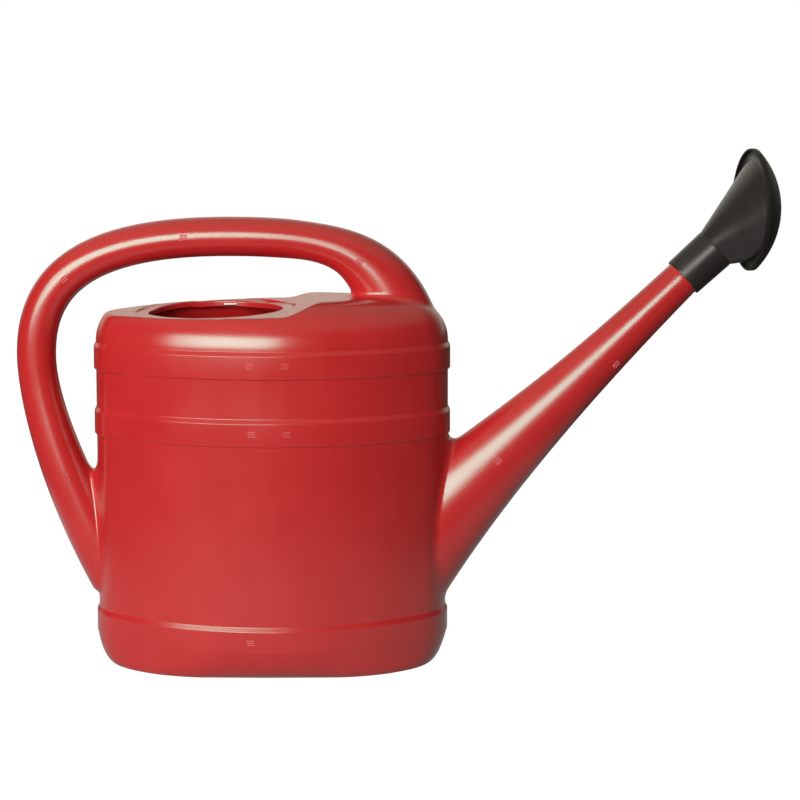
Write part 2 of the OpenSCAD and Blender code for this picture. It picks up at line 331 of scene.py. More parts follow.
class NodeTree:
    """A node tree that is written in short calls."""

    def __init__(self, tree: bpy.types.NodeTree) -> None:
        """Take up a tree."""
        self.tree = tree

    def fill(self, node: bpy.types.Node, inlets: dict) -> None:
        """Link or set inputs of a node.

        Args:
            node: The node.
            inlets: Inputs by name or number, each with a socket to link or a value to set.
        """
        for key, value in inlets.items():
            if isinstance(value, Socket):
                self.tree.links.new(value, node.inputs[key])
            else:
                node.inputs[key].default_value = value

    def node(self, kind: str, inlets: dict | None = None, outlet: str | int = 0, **settings: str) -> Socket:
        """Add a node and return one of its outputs.

        Args:
            kind: Type of the node.
            inlets: Inputs by name or number.
            outlet: Name or number of the output.
            settings: Settings of the node.

        Returns:
            Socket: The output.
        """
        made = self.tree.nodes.new(kind)
        for key, value in settings.items():
            setattr(made, key, value)
        self.fill(made, inlets or {})
        return made.outputs[outlet]

    def math(self, operation: str, *values: Socket | float) -> Socket:
        """Return the result of a math node on its operands."""
        return self.node("ShaderNodeMath", dict(enumerate(values)), operation=operation)

    def noise(self, place: Socket, scale: float, detail: float) -> Socket:
        """Return a noise pattern, by its waves in a metre and its octaves of finer detail."""
        return self.node("ShaderNodeTexNoise", {"Vector": place, "Scale": scale, "Detail": detail}, "Fac")

    def bump(self, height: Socket, depth: float, under: Socket | None = None) -> Socket:
        """Return a normal that a pattern disturbs.

        Args:
            height: The pattern.
            depth: Height of the pattern in millimetres.
            under: Normal that it lies on.

        Returns:
            Socket: The normal.
        """
        inlets = {"Strength": 1.0, "Distance": depth * MM, "Height": height}
        if under is not None:
            inlets["Normal"] = under
        return self.node("ShaderNodeBump", inlets, "Normal")

    def ray(self, kind: str) -> Socket:
        """Return whether a ray is of a kind, such as Camera or Glossy."""
        return self.node("ShaderNodeLightPath", outlet=f"Is {kind} Ray")

    def rise(self, value: Socket, start: float, end: float, low: float = 0.0, high: float = 1.0) -> Socket:
        """Return a value that rises smoothly between two places.

        Args:
            value: What the rise follows.
            start: Where it starts.
            end: Where it ends.
            low: Value at the start.
            high: Value at the end.

        Returns:
            Socket: The value.
        """
        return self.node("ShaderNodeMapRange", {
            "Value": value, "From Min": start, "From Max": end, "To Min": low, "To Max": high},
            "Result", interpolation_type="SMOOTHSTEP")

    def choose(self, share: Socket, off: Socket | float, on: Socket | float) -> Socket:
        """Return the blend of two values by a share."""
        return self.node("ShaderNodeMix", {0: share, 2: off, 3: on}, 0)

    def blend(self, share: Socket, off: Socket | Colour, on: Socket | Colour) -> Socket:
        """Return the blend of two colours by a share."""
        off, on = (way if isinstance(way, Socket) else (*way, 1) for way in (off, on))
        return self.node("ShaderNodeMix", {0: share, 6: off, 7: on}, 2, data_type="RGBA")


class Recipe(NodeTree):
    """A Geometry Nodes tree with named inputs, which ends in realized pieces with a material."""

    def __init__(self, name: str) -> None:
        """Start the tree.

        Args:
            name: Name of the tree.
        """
        super().__init__(bpy.data.node_groups.new(name, "GeometryNodeTree"))
        for way in ("INPUT", "OUTPUT"):
            self.tree.interface.new_socket("Geometry", in_out=way, socket_type="NodeSocketGeometry")
        self.source = self.tree.nodes.new("NodeGroupInput")
        self.identifiers: dict[str, str] = {}

    @property
    def base(self) -> Socket:
        """Return the geometry that the tree starts from."""
        return self.source.outputs[0]

    def size(self, name: str, kind: str = "Float") -> Socket:
        """Return a new named input.

        Args:
            name: Name of the input.
            kind: Kind of its socket.

        Returns:
            Socket: The input's socket inside the tree.
        """
        socket = self.tree.interface.new_socket(name, in_out="INPUT", socket_type="NodeSocket" + kind)
        self.identifiers[name] = socket.identifier
        return next(s for s in self.source.outputs if s.identifier == socket.identifier)

    def vector(self, x: Socket | float = 0.0, y: Socket | float = 0.0, z: Socket | float = 0.0) -> Socket:
        """Return a vector put together from its parts."""
        return self.node("ShaderNodeCombineXYZ", {"X": x, "Y": y, "Z": z})

    def spread(self, points: Socket, instance: Socket, turn: Socket | None = None) -> Socket:
        """Return real copies of a shape on points.

        Args:
            points: The points.
            instance: The shape.
            turn: Rotation of each copy, or None where they stand straight.

        Returns:
            Socket: The copies.
        """
        inlets = {"Points": points, "Instance": instance} | ({} if turn is None else {"Rotation": turn})
        copies = self.node("GeometryNodeInstanceOnPoints", inlets)
        return self.node("GeometryNodeRealizeInstances", {"Geometry": copies})

    def close(self, geometry: Socket) -> None:
        """End the tree in Realize Instances and Set Material.

        Args:
            geometry: The geometry to put out.
        """
        whole = self.node("GeometryNodeRealizeInstances", {"Geometry": geometry})
        finish = self.size("Finish", "Material")
        dressed = self.node("GeometryNodeSetMaterial", {"Geometry": whole, "Material": finish})
        self.tree.links.new(dressed, self.tree.nodes.new("NodeGroupOutput").inputs[0])

    def make(self, name: str, base: bpy.types.Mesh, values: dict, place: Matrix | None = None,
             crease: float = 35.0) -> bpy.types.Object:
        """Run the tree on a base mesh and return the plain piece that it gives.

        Args:
            name: Name of the piece.
            base: Mesh that the tree starts from.
            values: Values of the named inputs.
            place: Place of the piece in the frame, in metres.
            crease: Angle in degrees from which an edge is left sharp.

        Returns:
            bpy.types.Object: The piece.
        """
        carrier = linked(bpy.data.objects.new(name + "_base", base))
        modifier = carrier.modifiers.new("recipe", "NODES")
        modifier.node_group = self.tree
        for key, value in values.items():
            modifier[self.identifiers[key]] = value
        mesh = evaluated(carrier)
        carrier.modifiers.remove(modifier)
        bpy.data.objects.remove(carrier)
        mesh.name = name
        if place is not None:
            mesh.transform(place)
        return finished(name, mesh, crease)


# ---------------------------------------------------------------------------------------------
# Finishes


@dataclass(frozen=True)
class MouldedPlastic:
    """Satin polyethylene with a mottled tone, flow marks and a fine moulded grain.

    Attributes:
        name: Name of the material.
        colour: Linear colour.
        worn: Linear colour of the paler patches.
        roughness: Lowest and highest roughness.
        grain: Size of the moulded grain in millimetres.
        grain_depth: Depth of the grain in millimetres.
        specular: Strength of its gloss.
        sheen: Tint of its gloss seen square on.
        swell: Depth of the slow waves of the moulded wall, in millimetres.
        clouds: Waves in a metre of the mottled tone.
        streaks: Waves in a metre across the flow marks.
        streak_run: Waves along the flow marks, as a share of those across.
        streak_share: Strength of the flow marks beside the clouds.
        waves: Waves in a metre of the moulded wall.
    """

    name: str
    colour: Colour
    worn: Colour
    roughness: tuple[float, float]
    grain: float
    grain_depth: float
    specular: float
    sheen: Colour = (1.0, 1.0, 1.0)
    swell: float = 0.04
    clouds: float = 22.0
    streaks: float = 85.0
    streak_run: float = 0.16
    streak_share: float = 0.45
    waves: float = 30.0

    def material(self) -> bpy.types.Material:
        """Return the material, made the first time it is asked for.

        Returns:
            bpy.types.Material: The material.
        """
        if self.name in bpy.data.materials:
            return bpy.data.materials[self.name]
        made = bpy.data.materials.new(self.name)
        made.use_nodes = True
        tree = NodeTree(made.node_tree)
        place = tree.node("ShaderNodeTexCoord", outlet="Object")
        drawn = tree.node("ShaderNodeMapping", {"Vector": place, "Scale": (1.0, 1.0, self.streak_run)})
        mottle = tree.math("MULTIPLY_ADD", tree.noise(drawn, self.streaks, 5.0), self.streak_share,
                           tree.noise(place, self.clouds, 4.0))
        tone = tree.node("ShaderNodeValToRGB", {"Fac": mottle}, "Color")
        for stop, at, colour in zip(tone.node.color_ramp.elements, (0.5, 1.0), (self.colour, self.worn)):
            stop.position, stop.color = at, (*colour, 1)
        gloss = tree.node("ShaderNodeMapRange", {
            "Value": mottle, "From Min": 0.3, "From Max": 1.1,
            "To Min": self.roughness[0], "To Max": self.roughness[1]}, "Result")
        wall = tree.bump(tree.noise(place, self.waves, 1.0), self.swell)
        skin = tree.bump(tree.noise(place, 1000.0 / self.grain, 2.0), self.grain_depth, wall)
        tree.fill(made.node_tree.nodes["Principled BSDF"], {
            "Base Color": tone, "Roughness": gloss, "Normal": skin,
            "Specular IOR Level": self.specular, "Specular Tint": (*self.sheen, 1)})
        return made


CAN_RED = MouldedPlastic("can_red", (0.59, 0.018, 0.021), (0.62, 0.024, 0.027), roughness=(0.19, 0.27),
                         grain=0.9, grain_depth=0.003, specular=0.9, sheen=(0.32, 1.0, 0.88))
# The vent marks' paler red is painted sheen: it stands in for the brighter reflection off their rough bars,
# whose higher roughness is real.
VENT_RED = MouldedPlastic("vent_red", (0.60, 0.034, 0.035), (0.64, 0.045, 0.044), roughness=(0.38, 0.48),
                          grain=0.9, grain_depth=0.004, specular=0.9)
CAP_BLACK = MouldedPlastic("cap_black", (0.010, 0.009, 0.008), (0.018, 0.016, 0.014), roughness=(0.46, 0.58),
                           grain=0.7, grain_depth=0.006, specular=0.25)
ROSE_BLACK = MouldedPlastic("rose_black", (0.022, 0.019, 0.018), (0.034, 0.030, 0.028),
                            roughness=(0.24, 0.34), grain=0.7, grain_depth=0.005, specular=0.4)


# ---------------------------------------------------------------------------------------------
# The tank's form


@dataclass(frozen=True)
class OvalPlan:
    """Four-centre oval set out on 3-4-5 triangles.

    Attributes:
        length: Length of the oval.
        depth: Depth of the oval.
    """

    length: float = 287.0
    depth: float = 156.4

    @property
    def step(self) -> float:
        """Return the unit of the 3-4-5 triangles."""
        return round(25 * (self.length - self.depth)) / 100

    @property
    def end_centre(self) -> float:
        """Return how far the end centres lie from the middle."""
        return 3 * self.step

    @property
    def side_centre(self) -> float:
        """Return how far the side centres lie from the middle."""
        return 4 * self.step

    @property
    def end_r(self) -> float:
        """Return the radius of the end arcs."""
        return self.length / 2 - self.end_centre

    @property
    def side_r(self) -> float:
        """Return the radius of the side arcs."""
        return self.end_r + 5 * self.step

    def stations(self, count: int) -> tuple[Array, Array, Array]:
        """Return evenly spread stations round the oval.

        Args:
            count: Number of stations.

        Returns:
            tuple[Array, Array, Array]: Arc centres, outward directions and arc radii.
        """
        turn = math.atan2(4, 3)
        angles = np.array([0, turn, math.pi - turn, math.pi + turn, 2 * math.pi - turn, 2 * math.pi])
        radii = np.array([self.end_r, self.side_r, self.end_r, self.side_r, self.end_r])
        walk = np.concatenate([[0], np.cumsum(np.diff(angles) * radii)])
        at = np.interp(np.arange(count) / count * walk[-1], walk, angles)
        part = np.clip(np.searchsorted(angles, at, side="right") - 1, 0, 4)
        centres = np.array([[1, 0], [0, -1], [-1, 0], [0, 1], [1, 0]]) * [self.end_centre, self.side_centre]
        return centres[part], np.stack([np.cos(at), np.sin(at)], -1), radii[part]

    def outside(self, x: Array, y: Array) -> Array:
        """Return how far points lie outside the oval.

        Args:
            x: Places along the can.
            y: Places across the can.

        Returns:
            Array: Distances, negative inside.
        """
        ends = np.hypot(np.abs(x) - self.end_centre, y) - self.end_r
        sides = np.hypot(x, np.abs(y) + self.side_centre) - self.side_r
        return np.where(np.abs(x) < 0.75 * (np.abs(y) + self.side_centre), sides, ends)


@dataclass
class Tank:
    """Blow-moulded tank: oval wall with three bands, domed crown, sunk deck with its filler.

    Attributes:
        plan: Its oval at half height.
        height: Height to the flat of the crown.
        wall: Thickness of the wall.
        lean: How much further out each side stands at the foot than at the crown.
        crown_r: Radius from the wall into the crown.
        toe_in: How much shorter the spout's half is at the base and over the foot, as shares.
        belly: How much longer the spout's half grows up to its belly, as a share.
        foot_h: Height of the foot's rounding.
        foot_lead: Share of the foot's draw that is a plain slope.
        foot_step: How far the foot stands back under its band.
        base: Half the length and half the depth of the base's blunt oval.
        base_fullness: How blunt the base's oval is, 2 for an ellipse.
        base_cut: Half the depth between the base's straight sides.
        base_gap: Least distance from the wall in to the base.
        base_rise: How far the base's panel is set up.
        heel: Rings from the panel to the floor: place in from the outline and share of the rise.
        band_out: How far the bands stand out.
        band_h: Height of the two upper bands.
        band_slope: Height of the slope on top of each band.
        foot_band_h: Height of the foot band's top edge.
        lower_band_z: Height of the lower band's top edge.
        upper_band_z: Height of the upper band's top edge.
        filler_x: Place of the filler's centre.
        filler_r: Radius of the filler.
        recess_r: Radius of the recess round the filler.
        recess_depth: Depth of the recess under the deck.
        recess_pitch: Slope of the recess along the can, in degrees.
        recess_roll: Slope of the recess across the can, in degrees.
        recess_half: Half the width over which the recess keeps its depth, by the filler and at the rear.
        recess_fade: Width over which the recess runs out into the deck.
        recess_end_rise: How far the recess rises at its rear end.
        deck_drop: Depth of the deck under the crown.
        deck_tilt: Slope of the deck along the can, in degrees.
        deck_roll: Slope of the deck across the can, in degrees.
        far_rise: How far the deck's far edge is rolled up.
        corner_rise: How much more it is rolled up at its rear corner.
        ramp_x: Place where the ramp up to the crown starts.
        ramp_l: Length of the ramp.
        ramp_lift: How far the ramp's run-out lies over the crown, which ends it cleanly.
        lip_r: Radius of the filler's edge.
        lip_l: Depth of the filler's lip.
        slot: Tag slot behind the filler: its start and end along the can and its lower and upper edge.
        columns: Stations round the oval.
        deck_rows: Rings from the shoulder to the recess.
        seam: The parting line's points, known once the skin is made.
    """

    plan: OvalPlan = OvalPlan()
    height: float = 301.0
    wall: float = 2.2
    lean: float = 2.0
    crown_r: float = 35.5
    toe_in: tuple[float, float] = (0.011, 0.004)
    belly: float = 0.0135
    foot_h: float = 24.5
    foot_lead: float = 0.27
    foot_step: float = 0.5
    base: tuple[float, float] = (133.0, 66.0)
    base_fullness: float = 2.55
    base_cut: float = 62.5
    base_gap: float = 4.0
    base_rise: float = 1.8
    heel: tuple[tuple[float, float], ...] = ((9.0, 1.0), (8.2, 0.92), (7.0, 0.5), (6.0, 0.12), (5.2, 0.0))
    band_out: float = 1.8
    band_h: float = 22.0
    band_slope: float = 3.5
    foot_band_h: float = 45.6
    lower_band_z: float = 212.1
    upper_band_z: float = 265.1
    filler_x: float = -45.0
    filler_r: float = 54.5
    recess_r: float = 65.0
    recess_depth: float = 2.2
    recess_pitch: float = 2.2
    recess_roll: float = 0.8
    recess_half: tuple[float, float] = (44.0, 16.0)
    recess_fade: float = 16.0
    recess_end_rise: float = 0.8
    deck_drop: float = 9.0
    deck_tilt: float = 1.4
    deck_roll: float = 1.2
    far_rise: float = 1.3
    corner_rise: float = 1.2
    ramp_x: float = 10.0
    ramp_l: float = 31.0
    ramp_lift: float = 2.5
    lip_r: float = 0.9
    lip_l: float = 4.2
    slot: tuple[float, float, float, float] = (-42.6, -31.0, 288.0, 290.1)
    columns: int = 360
    deck_rows: int = 61
    seam: Array = field(init=False, repr=False)

    @property
    def crown_z(self) -> float:
        """Return the height at which the wall turns into the crown."""
        return self.height - self.crown_r

    @property
    def crown_w(self) -> float:
        """Return how far the crown's outline stands out from the oval."""
        return float(self.wall_w(self.crown_z))

    @property
    def foot_w(self) -> float:
        """Return how far the top of the foot stands out from the oval."""
        return float(self.wall_w(self.foot_h)) + self.band_out - self.foot_step

    def stretch(self, z: Array) -> Array:
        """Return how much longer the spout's half of the can is than its oval, at heights."""
        foot = lerp(-self.toe_in[0], -self.toe_in[1], ease((z - 10) / 17))
        return foot + self.belly * ease((z - 40) / 160)

    def wall_w(self, z: Number) -> Number:
        """Return how far the plain wall stands out from the oval at a height."""
        return self.lean * (0.5 - np.asarray(z, float) / self.height)

    # The form as heights and distances

    def crown_height(self, x: Array, y: Array) -> Array:
        """Return the height of the crown without its deck.

        Args:
            x: Places along the can.
            y: Places across the can.

        Returns:
            Array: Heights.
        """
        q = self.plan.outside(x, y) - self.crown_w + self.crown_r
        t = np.clip(q, 0, self.crown_r)
        return self.crown_z + np.sqrt(self.crown_r**2 - t * t)

    def deck_height(self, x: Array, y: Array) -> Array:
        """Return the height of the deck and its ramp.

        Args:
            x: Places along the can.
            y: Places across the can.

        Returns:
            Array: Heights.
        """
        deck = self.height - self.deck_drop * (1 - ease((x - self.ramp_x) / self.ramp_l))
        deck = deck + self.ramp_lift * ease((x - self.ramp_x - 0.75 * self.ramp_l) / 20)
        deck = deck + np.minimum(x - self.ramp_x, 0) * slope(self.deck_tilt)
        before_ramp = 1 - ease((x - self.ramp_x - 15) / 30)
        deck = deck + y * slope(self.deck_roll) * before_ramp
        far = self.far_rise * before_ramp + self.corner_rise * ease((-50 - x) / 50)
        return deck + far * ease((y - 25) / 35)

    def recess_height(self, x: Array, y: Array) -> Array:
        """Return the height of the recess, which runs out into the deck at its near and far side.

        Args:
            x: Places along the can.
            y: Places across the can.

        Returns:
            Array: Heights.
        """
        plane = (self.height - self.deck_drop - self.recess_depth
                 + (x - self.filler_x) * slope(self.recess_pitch) + y * slope(self.recess_roll)
                 + self.recess_end_rise * ease((-60 - x) / 40))
        half = lerp(self.recess_half[0], self.recess_half[1], ease((-60 - x) / 25))
        out = ease((np.abs(y) - half) / self.recess_fade)
        return lerp(plane, np.maximum(self.deck_height(x, y), plane), out)

    def top_height(self, x: Array, y: Array, inside: bool) -> Array:
        """Return the height of the finished top.

        Args:
            x: Places along the can.
            y: Places across the can.
            inside: True for points within the recess.

        Returns:
            Array: Heights.
        """
        soft = lerp(1.4, 3.2, ease((-88 - x) / 50) * ease((20 - y) / 40))
        top = soft_min(self.crown_height(x, y), self.deck_height(x, y), soft)
        if inside:
            top = soft_min(top, self.recess_height(x, y), np.full_like(top, 0.9))
        return top

    def distance(self, p: Array) -> Array:
        """Return how far points lie outside the plain wall and crown.

        Args:
            p: The points.

        Returns:
            Array: Distances, negative inside.
        """
        x, z = p[..., 0], p[..., 2]
        q = self.plan.outside(np.where(x > 0, x / (1 + self.stretch(z)), x), p[..., 1])
        wall = q - self.wall_w(z)
        q = q - self.crown_w + self.crown_r
        v = z - self.crown_z
        crown = np.where(q > 0, np.hypot(q, v), np.abs(v)) - self.crown_r
        return np.where(v > 0, crown, wall)

    def normal(self, p: Array) -> Array:
        """Return the outward directions of the plain wall and crown at points."""
        steps = np.eye(3) * 0.05
        return unit(np.stack([self.distance(p + s) - self.distance(p - s) for s in steps], -1))

    # The skin

    def profile(self) -> Array:
        """Return the wall's profile from the foot's crease to the crown.

        Returns:
            Array: Places out from the oval and heights.
        """
        def out(z: float, by: float = 0.0) -> float:
            """Return the plain wall's place out at a height, and further out by a band."""
            return float(self.wall_w(z)) + by

        foot, band, top = self.foot_h, self.band_out, self.foot_band_h
        corners = [(out(foot, band) - self.foot_step, foot, 0), (out(foot, band), foot + 0.25, 0.2),
                   (out(top, band), top - self.band_slope, 0.8), (out(top), top, 0.8)]
        for top in (self.lower_band_z, self.upper_band_z):
            low = top - self.band_h
            corners += [(out(low), low, 0.45), (out(low, band), low + 0.35, 1.3),
                        (out(top, band), top - self.band_slope, 0.8), (out(top), top, 0.8)]
        corners.append((self.crown_w, self.crown_z, 0))
        return rounded_profile(corners)

    def ring(self, w: Number, z: Number) -> Array:
        """Return a ring round the oval.

        Args:
            w: How far it stands out from the oval, for all stations or for each.
            z: Its height, for all stations or for each.

        Returns:
            Array: Points of the ring.
        """
        centres, out, radii = self.plan.stations(self.columns)
        xy = centres + out * (radii + w)[:, None]
        return np.concatenate([xy, np.broadcast_to(np.asarray(z, float), radii.shape)[:, None]], -1)

    def crown_rings(self, angles: Array, inset: float = 0.0) -> list[Array]:
        """Return rings of the crown's arc.

        Args:
            angles: Places on the arc, from the wall up.
            inset: How far the rings lie within the skin.

        Returns:
            list[Array]: The rings.
        """
        w, r = self.crown_w - inset, self.crown_r - inset
        return [self.ring(w - r * (1 - math.cos(a)), self.crown_z + r * math.sin(a)) for a in angles]

    def top_rings(self, shoulder: Array) -> tuple[list[Array], list[Array]]:
        """Return the rings of the deck, the recess and the filler.

        Args:
            shoulder: Plan of the crown's ring from which straight lines run in to the recess.

        Returns:
            tuple[list[Array], list[Array]]: Rings over the top to the lip's end, and back under the deck.
        """
        turn = np.arctan2(shoulder[:, 1], shoulder[:, 0] - self.filler_x)
        spoke = np.stack([np.cos(turn), np.sin(turn)], -1)
        middle = np.array([self.filler_x, 0.0])

        def circle(r: float) -> Array:
            """Return the circle of a radius round the filler's centre."""
            return middle + spoke * r

        def at_height(xy: Array, z: Array) -> Array:
            """Return the points of a ring from its plan and its heights."""
            return np.concatenate([xy, z[:, None]], -1)

        def laid(xy: Array, inside: bool, drop: float = 0.0) -> Array:
            """Return a ring laid on the finished top, or under it by a drop."""
            return at_height(xy, self.top_height(xy[:, 0], xy[:, 1], inside) - drop)

        rim = circle(self.recess_r)
        spread = np.linspace(0, 1, self.deck_rows + 1)[1:] ** 1.5
        over = [laid(lerp(shoulder, rim, k), False) for k in spread]
        over += [laid(circle(self.recess_r - d), True) for d in (0.25, 0.8)]
        lip_start = self.filler_r + self.lip_r
        over += [laid(circle(r), True) for r in np.linspace(self.recess_r - 1.3, lip_start, 16)]
        edge = laid(circle(self.filler_r), True)[:, 2]
        for a in np.radians([25, 50, 75, 90]):
            inwards, down = self.lip_r * math.sin(a), self.lip_r * (1 - math.cos(a))
            over.append(at_height(circle(lip_start - inwards), edge - down))
        over += [at_height(circle(self.filler_r), edge - d) for d in (1.6, self.lip_l)]
        over.append(at_height(circle(self.filler_r + 0.6), edge - self.lip_l - 0.4))
        lip, floor = circle(self.filler_r + 2.5), circle(self.recess_r - 1)
        under = [laid(lerp(lip, floor, k), True, lerp(self.lip_l, self.wall + 0.6, k))
                 for k in (0, 0.35, 0.7, 0.9, 1)]
        under += [laid(lerp(rim, shoulder, k) - spoke * self.wall * k, False, self.wall + 0.4)
                  for k in 1 - spread[::-6]]
        return over, under

    def skin(self) -> tuple[Array, tuple[Array, Array]]:
        """Return the whole skin, outside and inside, and keep its parting line.

        Returns:
            tuple[Array, tuple[Array, Array]]: Rings from the base out, over the top and back down inside,
                and the skin's two poles.
        """
        def scaled(ring: Array, share: float, z: float) -> Array:
            """Return a ring drawn in towards the middle of the base."""
            return np.concatenate([ring[:, :2] * share, np.full((len(ring), 1), z)], -1)

        inset = self.base_inset()
        panel = self.ring(self.foot_w - inset - self.heel[0][0], 0.0)
        rows = [scaled(panel, k, self.base_rise) for k in (0.2, 0.5, 0.8, 0.97)]
        rows += [self.ring(self.foot_w - inset - d, share * self.base_rise) for d, share in self.heel]
        foot, wall = self.foot_rows(inset), self.profile()
        rows += [self.ring(self.foot_w - draw, z) for draw, z in foot]
        rows += [self.ring(w, z) for w, z in wall[1:]]
        last = math.acos(1 - 5.0 / self.crown_r)
        rows += self.crown_rings(np.linspace(0, last, 12)[1:])
        crown = len(rows)
        over, under = self.top_rings(rows[-1][:, :2])
        rows += over + under + self.crown_rings(np.linspace(last, 0, 7), self.wall)
        rows += [self.ring(w - self.wall, z) for w, z in wall[::-1][1:-1:3]]
        floor_z = self.wall + self.base_rise
        rows += [self.ring(self.foot_w - draw - self.wall, floor_z + z * (1 - floor_z / self.foot_h))
                 for draw, z in foot[::-2]]
        rows += [scaled(rows[-1], k, floor_z) for k in (0.7, 0.35, 0.1)]
        whole = np.array(rows)
        whole[..., 0] += np.maximum(whole[..., 0], 0) * self.stretch(whole[..., 2])
        rear, front = whole[:crown + self.deck_rows, self.columns // 2], whole[:crown, 0]
        self.seam = np.concatenate([rear[::-1], front])
        return whole, (np.array([0, 0, self.base_rise]), np.array([0, 0, floor_z]))

    def base_inset(self) -> Array:
        """Return how far in from the foot's top each station meets the base's outline.

        Returns:
            Array: Distances.
        """
        wall, out = self.ring(self.foot_w, 0.0)[:, :2], self.plan.stations(self.columns)[1]
        low, high = np.full(len(wall), self.base_gap), np.full(len(wall), 40.0)
        for _ in range(30):
            mid = (low + high) / 2
            at = np.abs(wall - out * mid[:, None])
            blunt = ((at / np.array(self.base)) ** self.base_fullness).sum(-1) > 1
            beyond = blunt | (at[:, 1] > self.base_cut)
            low, high = np.where(beyond, mid, low), np.where(beyond, high, mid)
        kernel = np.hanning(19)[1:-1]
        wide = np.concatenate([low[-8:], low, low[:8]])
        return np.convolve(wide, kernel / kernel.sum(), "valid")

    def foot_rows(self, inset: Array) -> list[tuple[Array, Array]]:
        """Return the foot's rings from the base up.

        Args:
            inset: How far each station is drawn in at the base.

        Returns:
            list[tuple[Array, Array]]: How far each ring is drawn in, and its heights.
        """
        turn_h = np.minimum(0.9 * self.foot_h, 4 + 1.5 * inset)
        heights = [turn_h * (1 - math.sin(a)) for a in np.radians(np.linspace(90, 0, 15))]
        heights += [lerp(turn_h, self.foot_h, k) for k in (0.4, 0.8, 1.0)]
        rows = []
        for z in heights:
            up = np.clip(1 - z / turn_h, 0, 1)
            arc = 1 - np.sqrt(1 - up * up)
            rows.append((inset * (self.foot_lead * (1 - z / self.foot_h) + (1 - self.foot_lead) * arc), z))
        return rows

    def build(self) -> bpy.types.Object:
        """Make the tank with the tag slot cut through its rim.

        Returns:
            bpy.types.Object: The tank.
        """
        rows, poles = self.skin()
        start, end, low, high = self.slot
        return carved(piece_from_rows("can_tank", rows, poles),
                      block((start, self.filler_r - 3, low), (end, self.plan.depth / 2, high)))


# ---------------------------------------------------------------------------------------------
# Hollow limbs that grow out of the tank


@dataclass
class Limb:
    """Hollow tube whose ends flow into the tank's wall.

    Attributes:
        tank: The tank that it grows from.
        wall: Thickness of its wall.
        sides: Points of each ring.
        rings: Rings of its outside, known once it is built.
    """

    tank: Tank
    wall: float = 2.2
    sides: int = 96
    rings: Array = field(init=False, repr=False)

    @property
    def angles(self) -> Array:
        """Return the angle of each column of the tube, from its upper edge."""
        return 2 * math.pi * np.arange(self.sides) / self.sides

    @staticmethod
    def in_space(flat: Array, across: Array) -> Array:
        """Return points from their places in the parting plane and across it."""
        return np.stack([flat[:, 0], across, flat[:, 1]], -1)

    def at(self, t: Number, inset: float = 0.0) -> Array:
        """Return the points of the tube's columns at a place along it.

        Args:
            t: Place along the tube, for all columns or for each.
            inset: How far the columns are drawn in.

        Returns:
            Array: One point for each column.
        """
        raise NotImplementedError

    def meets(self, inner: float, outer: float, level: float = 0.0, inset: float = 0.0) -> Array:
        """Return where each column passes a distance from the tank's surface.

        Args:
            inner: Place along the tube that lies inside the tank.
            outer: Place along the tube that lies outside the tank.
            level: Distance from the tank's surface.
            inset: How far the column is drawn in.

        Returns:
            Array: The place along the tube for each column.
        """
        low, high = np.full(self.sides, inner), np.full(self.sides, outer)
        for _ in range(40):
            mid = (low + high) / 2
            within = self.tank.distance(self.at(mid, inset)) < level
            low, high = np.where(within, mid, low), np.where(within, high, mid)
        return (low + high) / 2

    def root(self, inner: float, outer: float, radius: Number, least: Number, most: float,
             rows: int = 10) -> tuple[Array, list[Array]]:
        """Return the flare with which an end flows into the tank.

        Args:
            inner: Place along the tube that lies inside the tank.
            outer: Place along the tube that lies outside the tank.
            radius: Radius of the flare, for the whole ring or for each column.
            least: Least width of the flare.
            most: Greatest width of the flare.
            rows: Rings of the flare.

        Returns:
            tuple[Array, list[Array]]: Place where each column leaves the tube, and the rings to the tank.
        """
        crossing = self.meets(inner, outer)
        sign = 1.0 if outer > inner else -1.0
        here = self.at(crossing)

        def along(t: Array, step: float = 1e-4) -> Array:
            """Return how the columns run out from the tank at places along the tube."""
            return sign * (self.at(t + step) - self.at(t - step)) / (2 * step)

        run = along(crossing)
        tube_out = unit(np.cross(np.roll(here, -1, 0) - np.roll(here, 1, 0), run))
        tube_out *= np.sign(np.sum(tube_out * (here - here.mean(0)), -1, keepdims=True))
        tank_out = self.tank.normal(here)
        lean = np.sum(tube_out * tank_out, -1, keepdims=True)
        away, up = unit(tube_out - lean * tank_out), unit(tank_out - lean * tube_out)
        angle = np.arccos(np.clip(np.sum(away * up, -1), -0.99, 0.99))
        width = np.clip(radius / np.tan(angle / 2), least, most)
        width = sum(np.roll(width, k) for k in range(-3, 4)) / 7
        leaving = crossing + sign * width / np.linalg.norm(run, axis=-1)

        def on_tank(further: float, lift: float) -> Array:
            """Return the flare's edge on the tank.

            Args:
                further: How far beyond the flare's width it lies.
                lift: How far it lies off the tank's surface.

            Returns:
                Array: One point for each column.
            """
            p = here + away * (width[:, None] + further)
            for _ in range(3):
                p = p - self.tank.normal(p) * self.tank.distance(p)[:, None]
            return p + self.tank.normal(p) * lift

        def pull(way: Array, end: Array) -> Array:
            """Return how far the flare's curve keeps to its way at an end."""
            return way * 0.58 * np.linalg.norm(end - here, axis=-1, keepdims=True)

        start, foot = self.at(leaving), on_tank(0.0, 0.03)
        arrive, foot_out = here - foot, self.tank.normal(foot)
        arrive = unit(arrive - np.sum(arrive * foot_out, -1, keepdims=True) * foot_out)
        curve = np.array([start, start - pull(unit(along(leaving)), start), foot + pull(arrive, foot), foot])
        rings = [on_curve(curve, k)[0] for k in np.linspace(0, 1, rows + 1)[1:]]
        return leaving, rings + [on_tank(3.0, -0.12), on_tank(3.0, -1.2)]


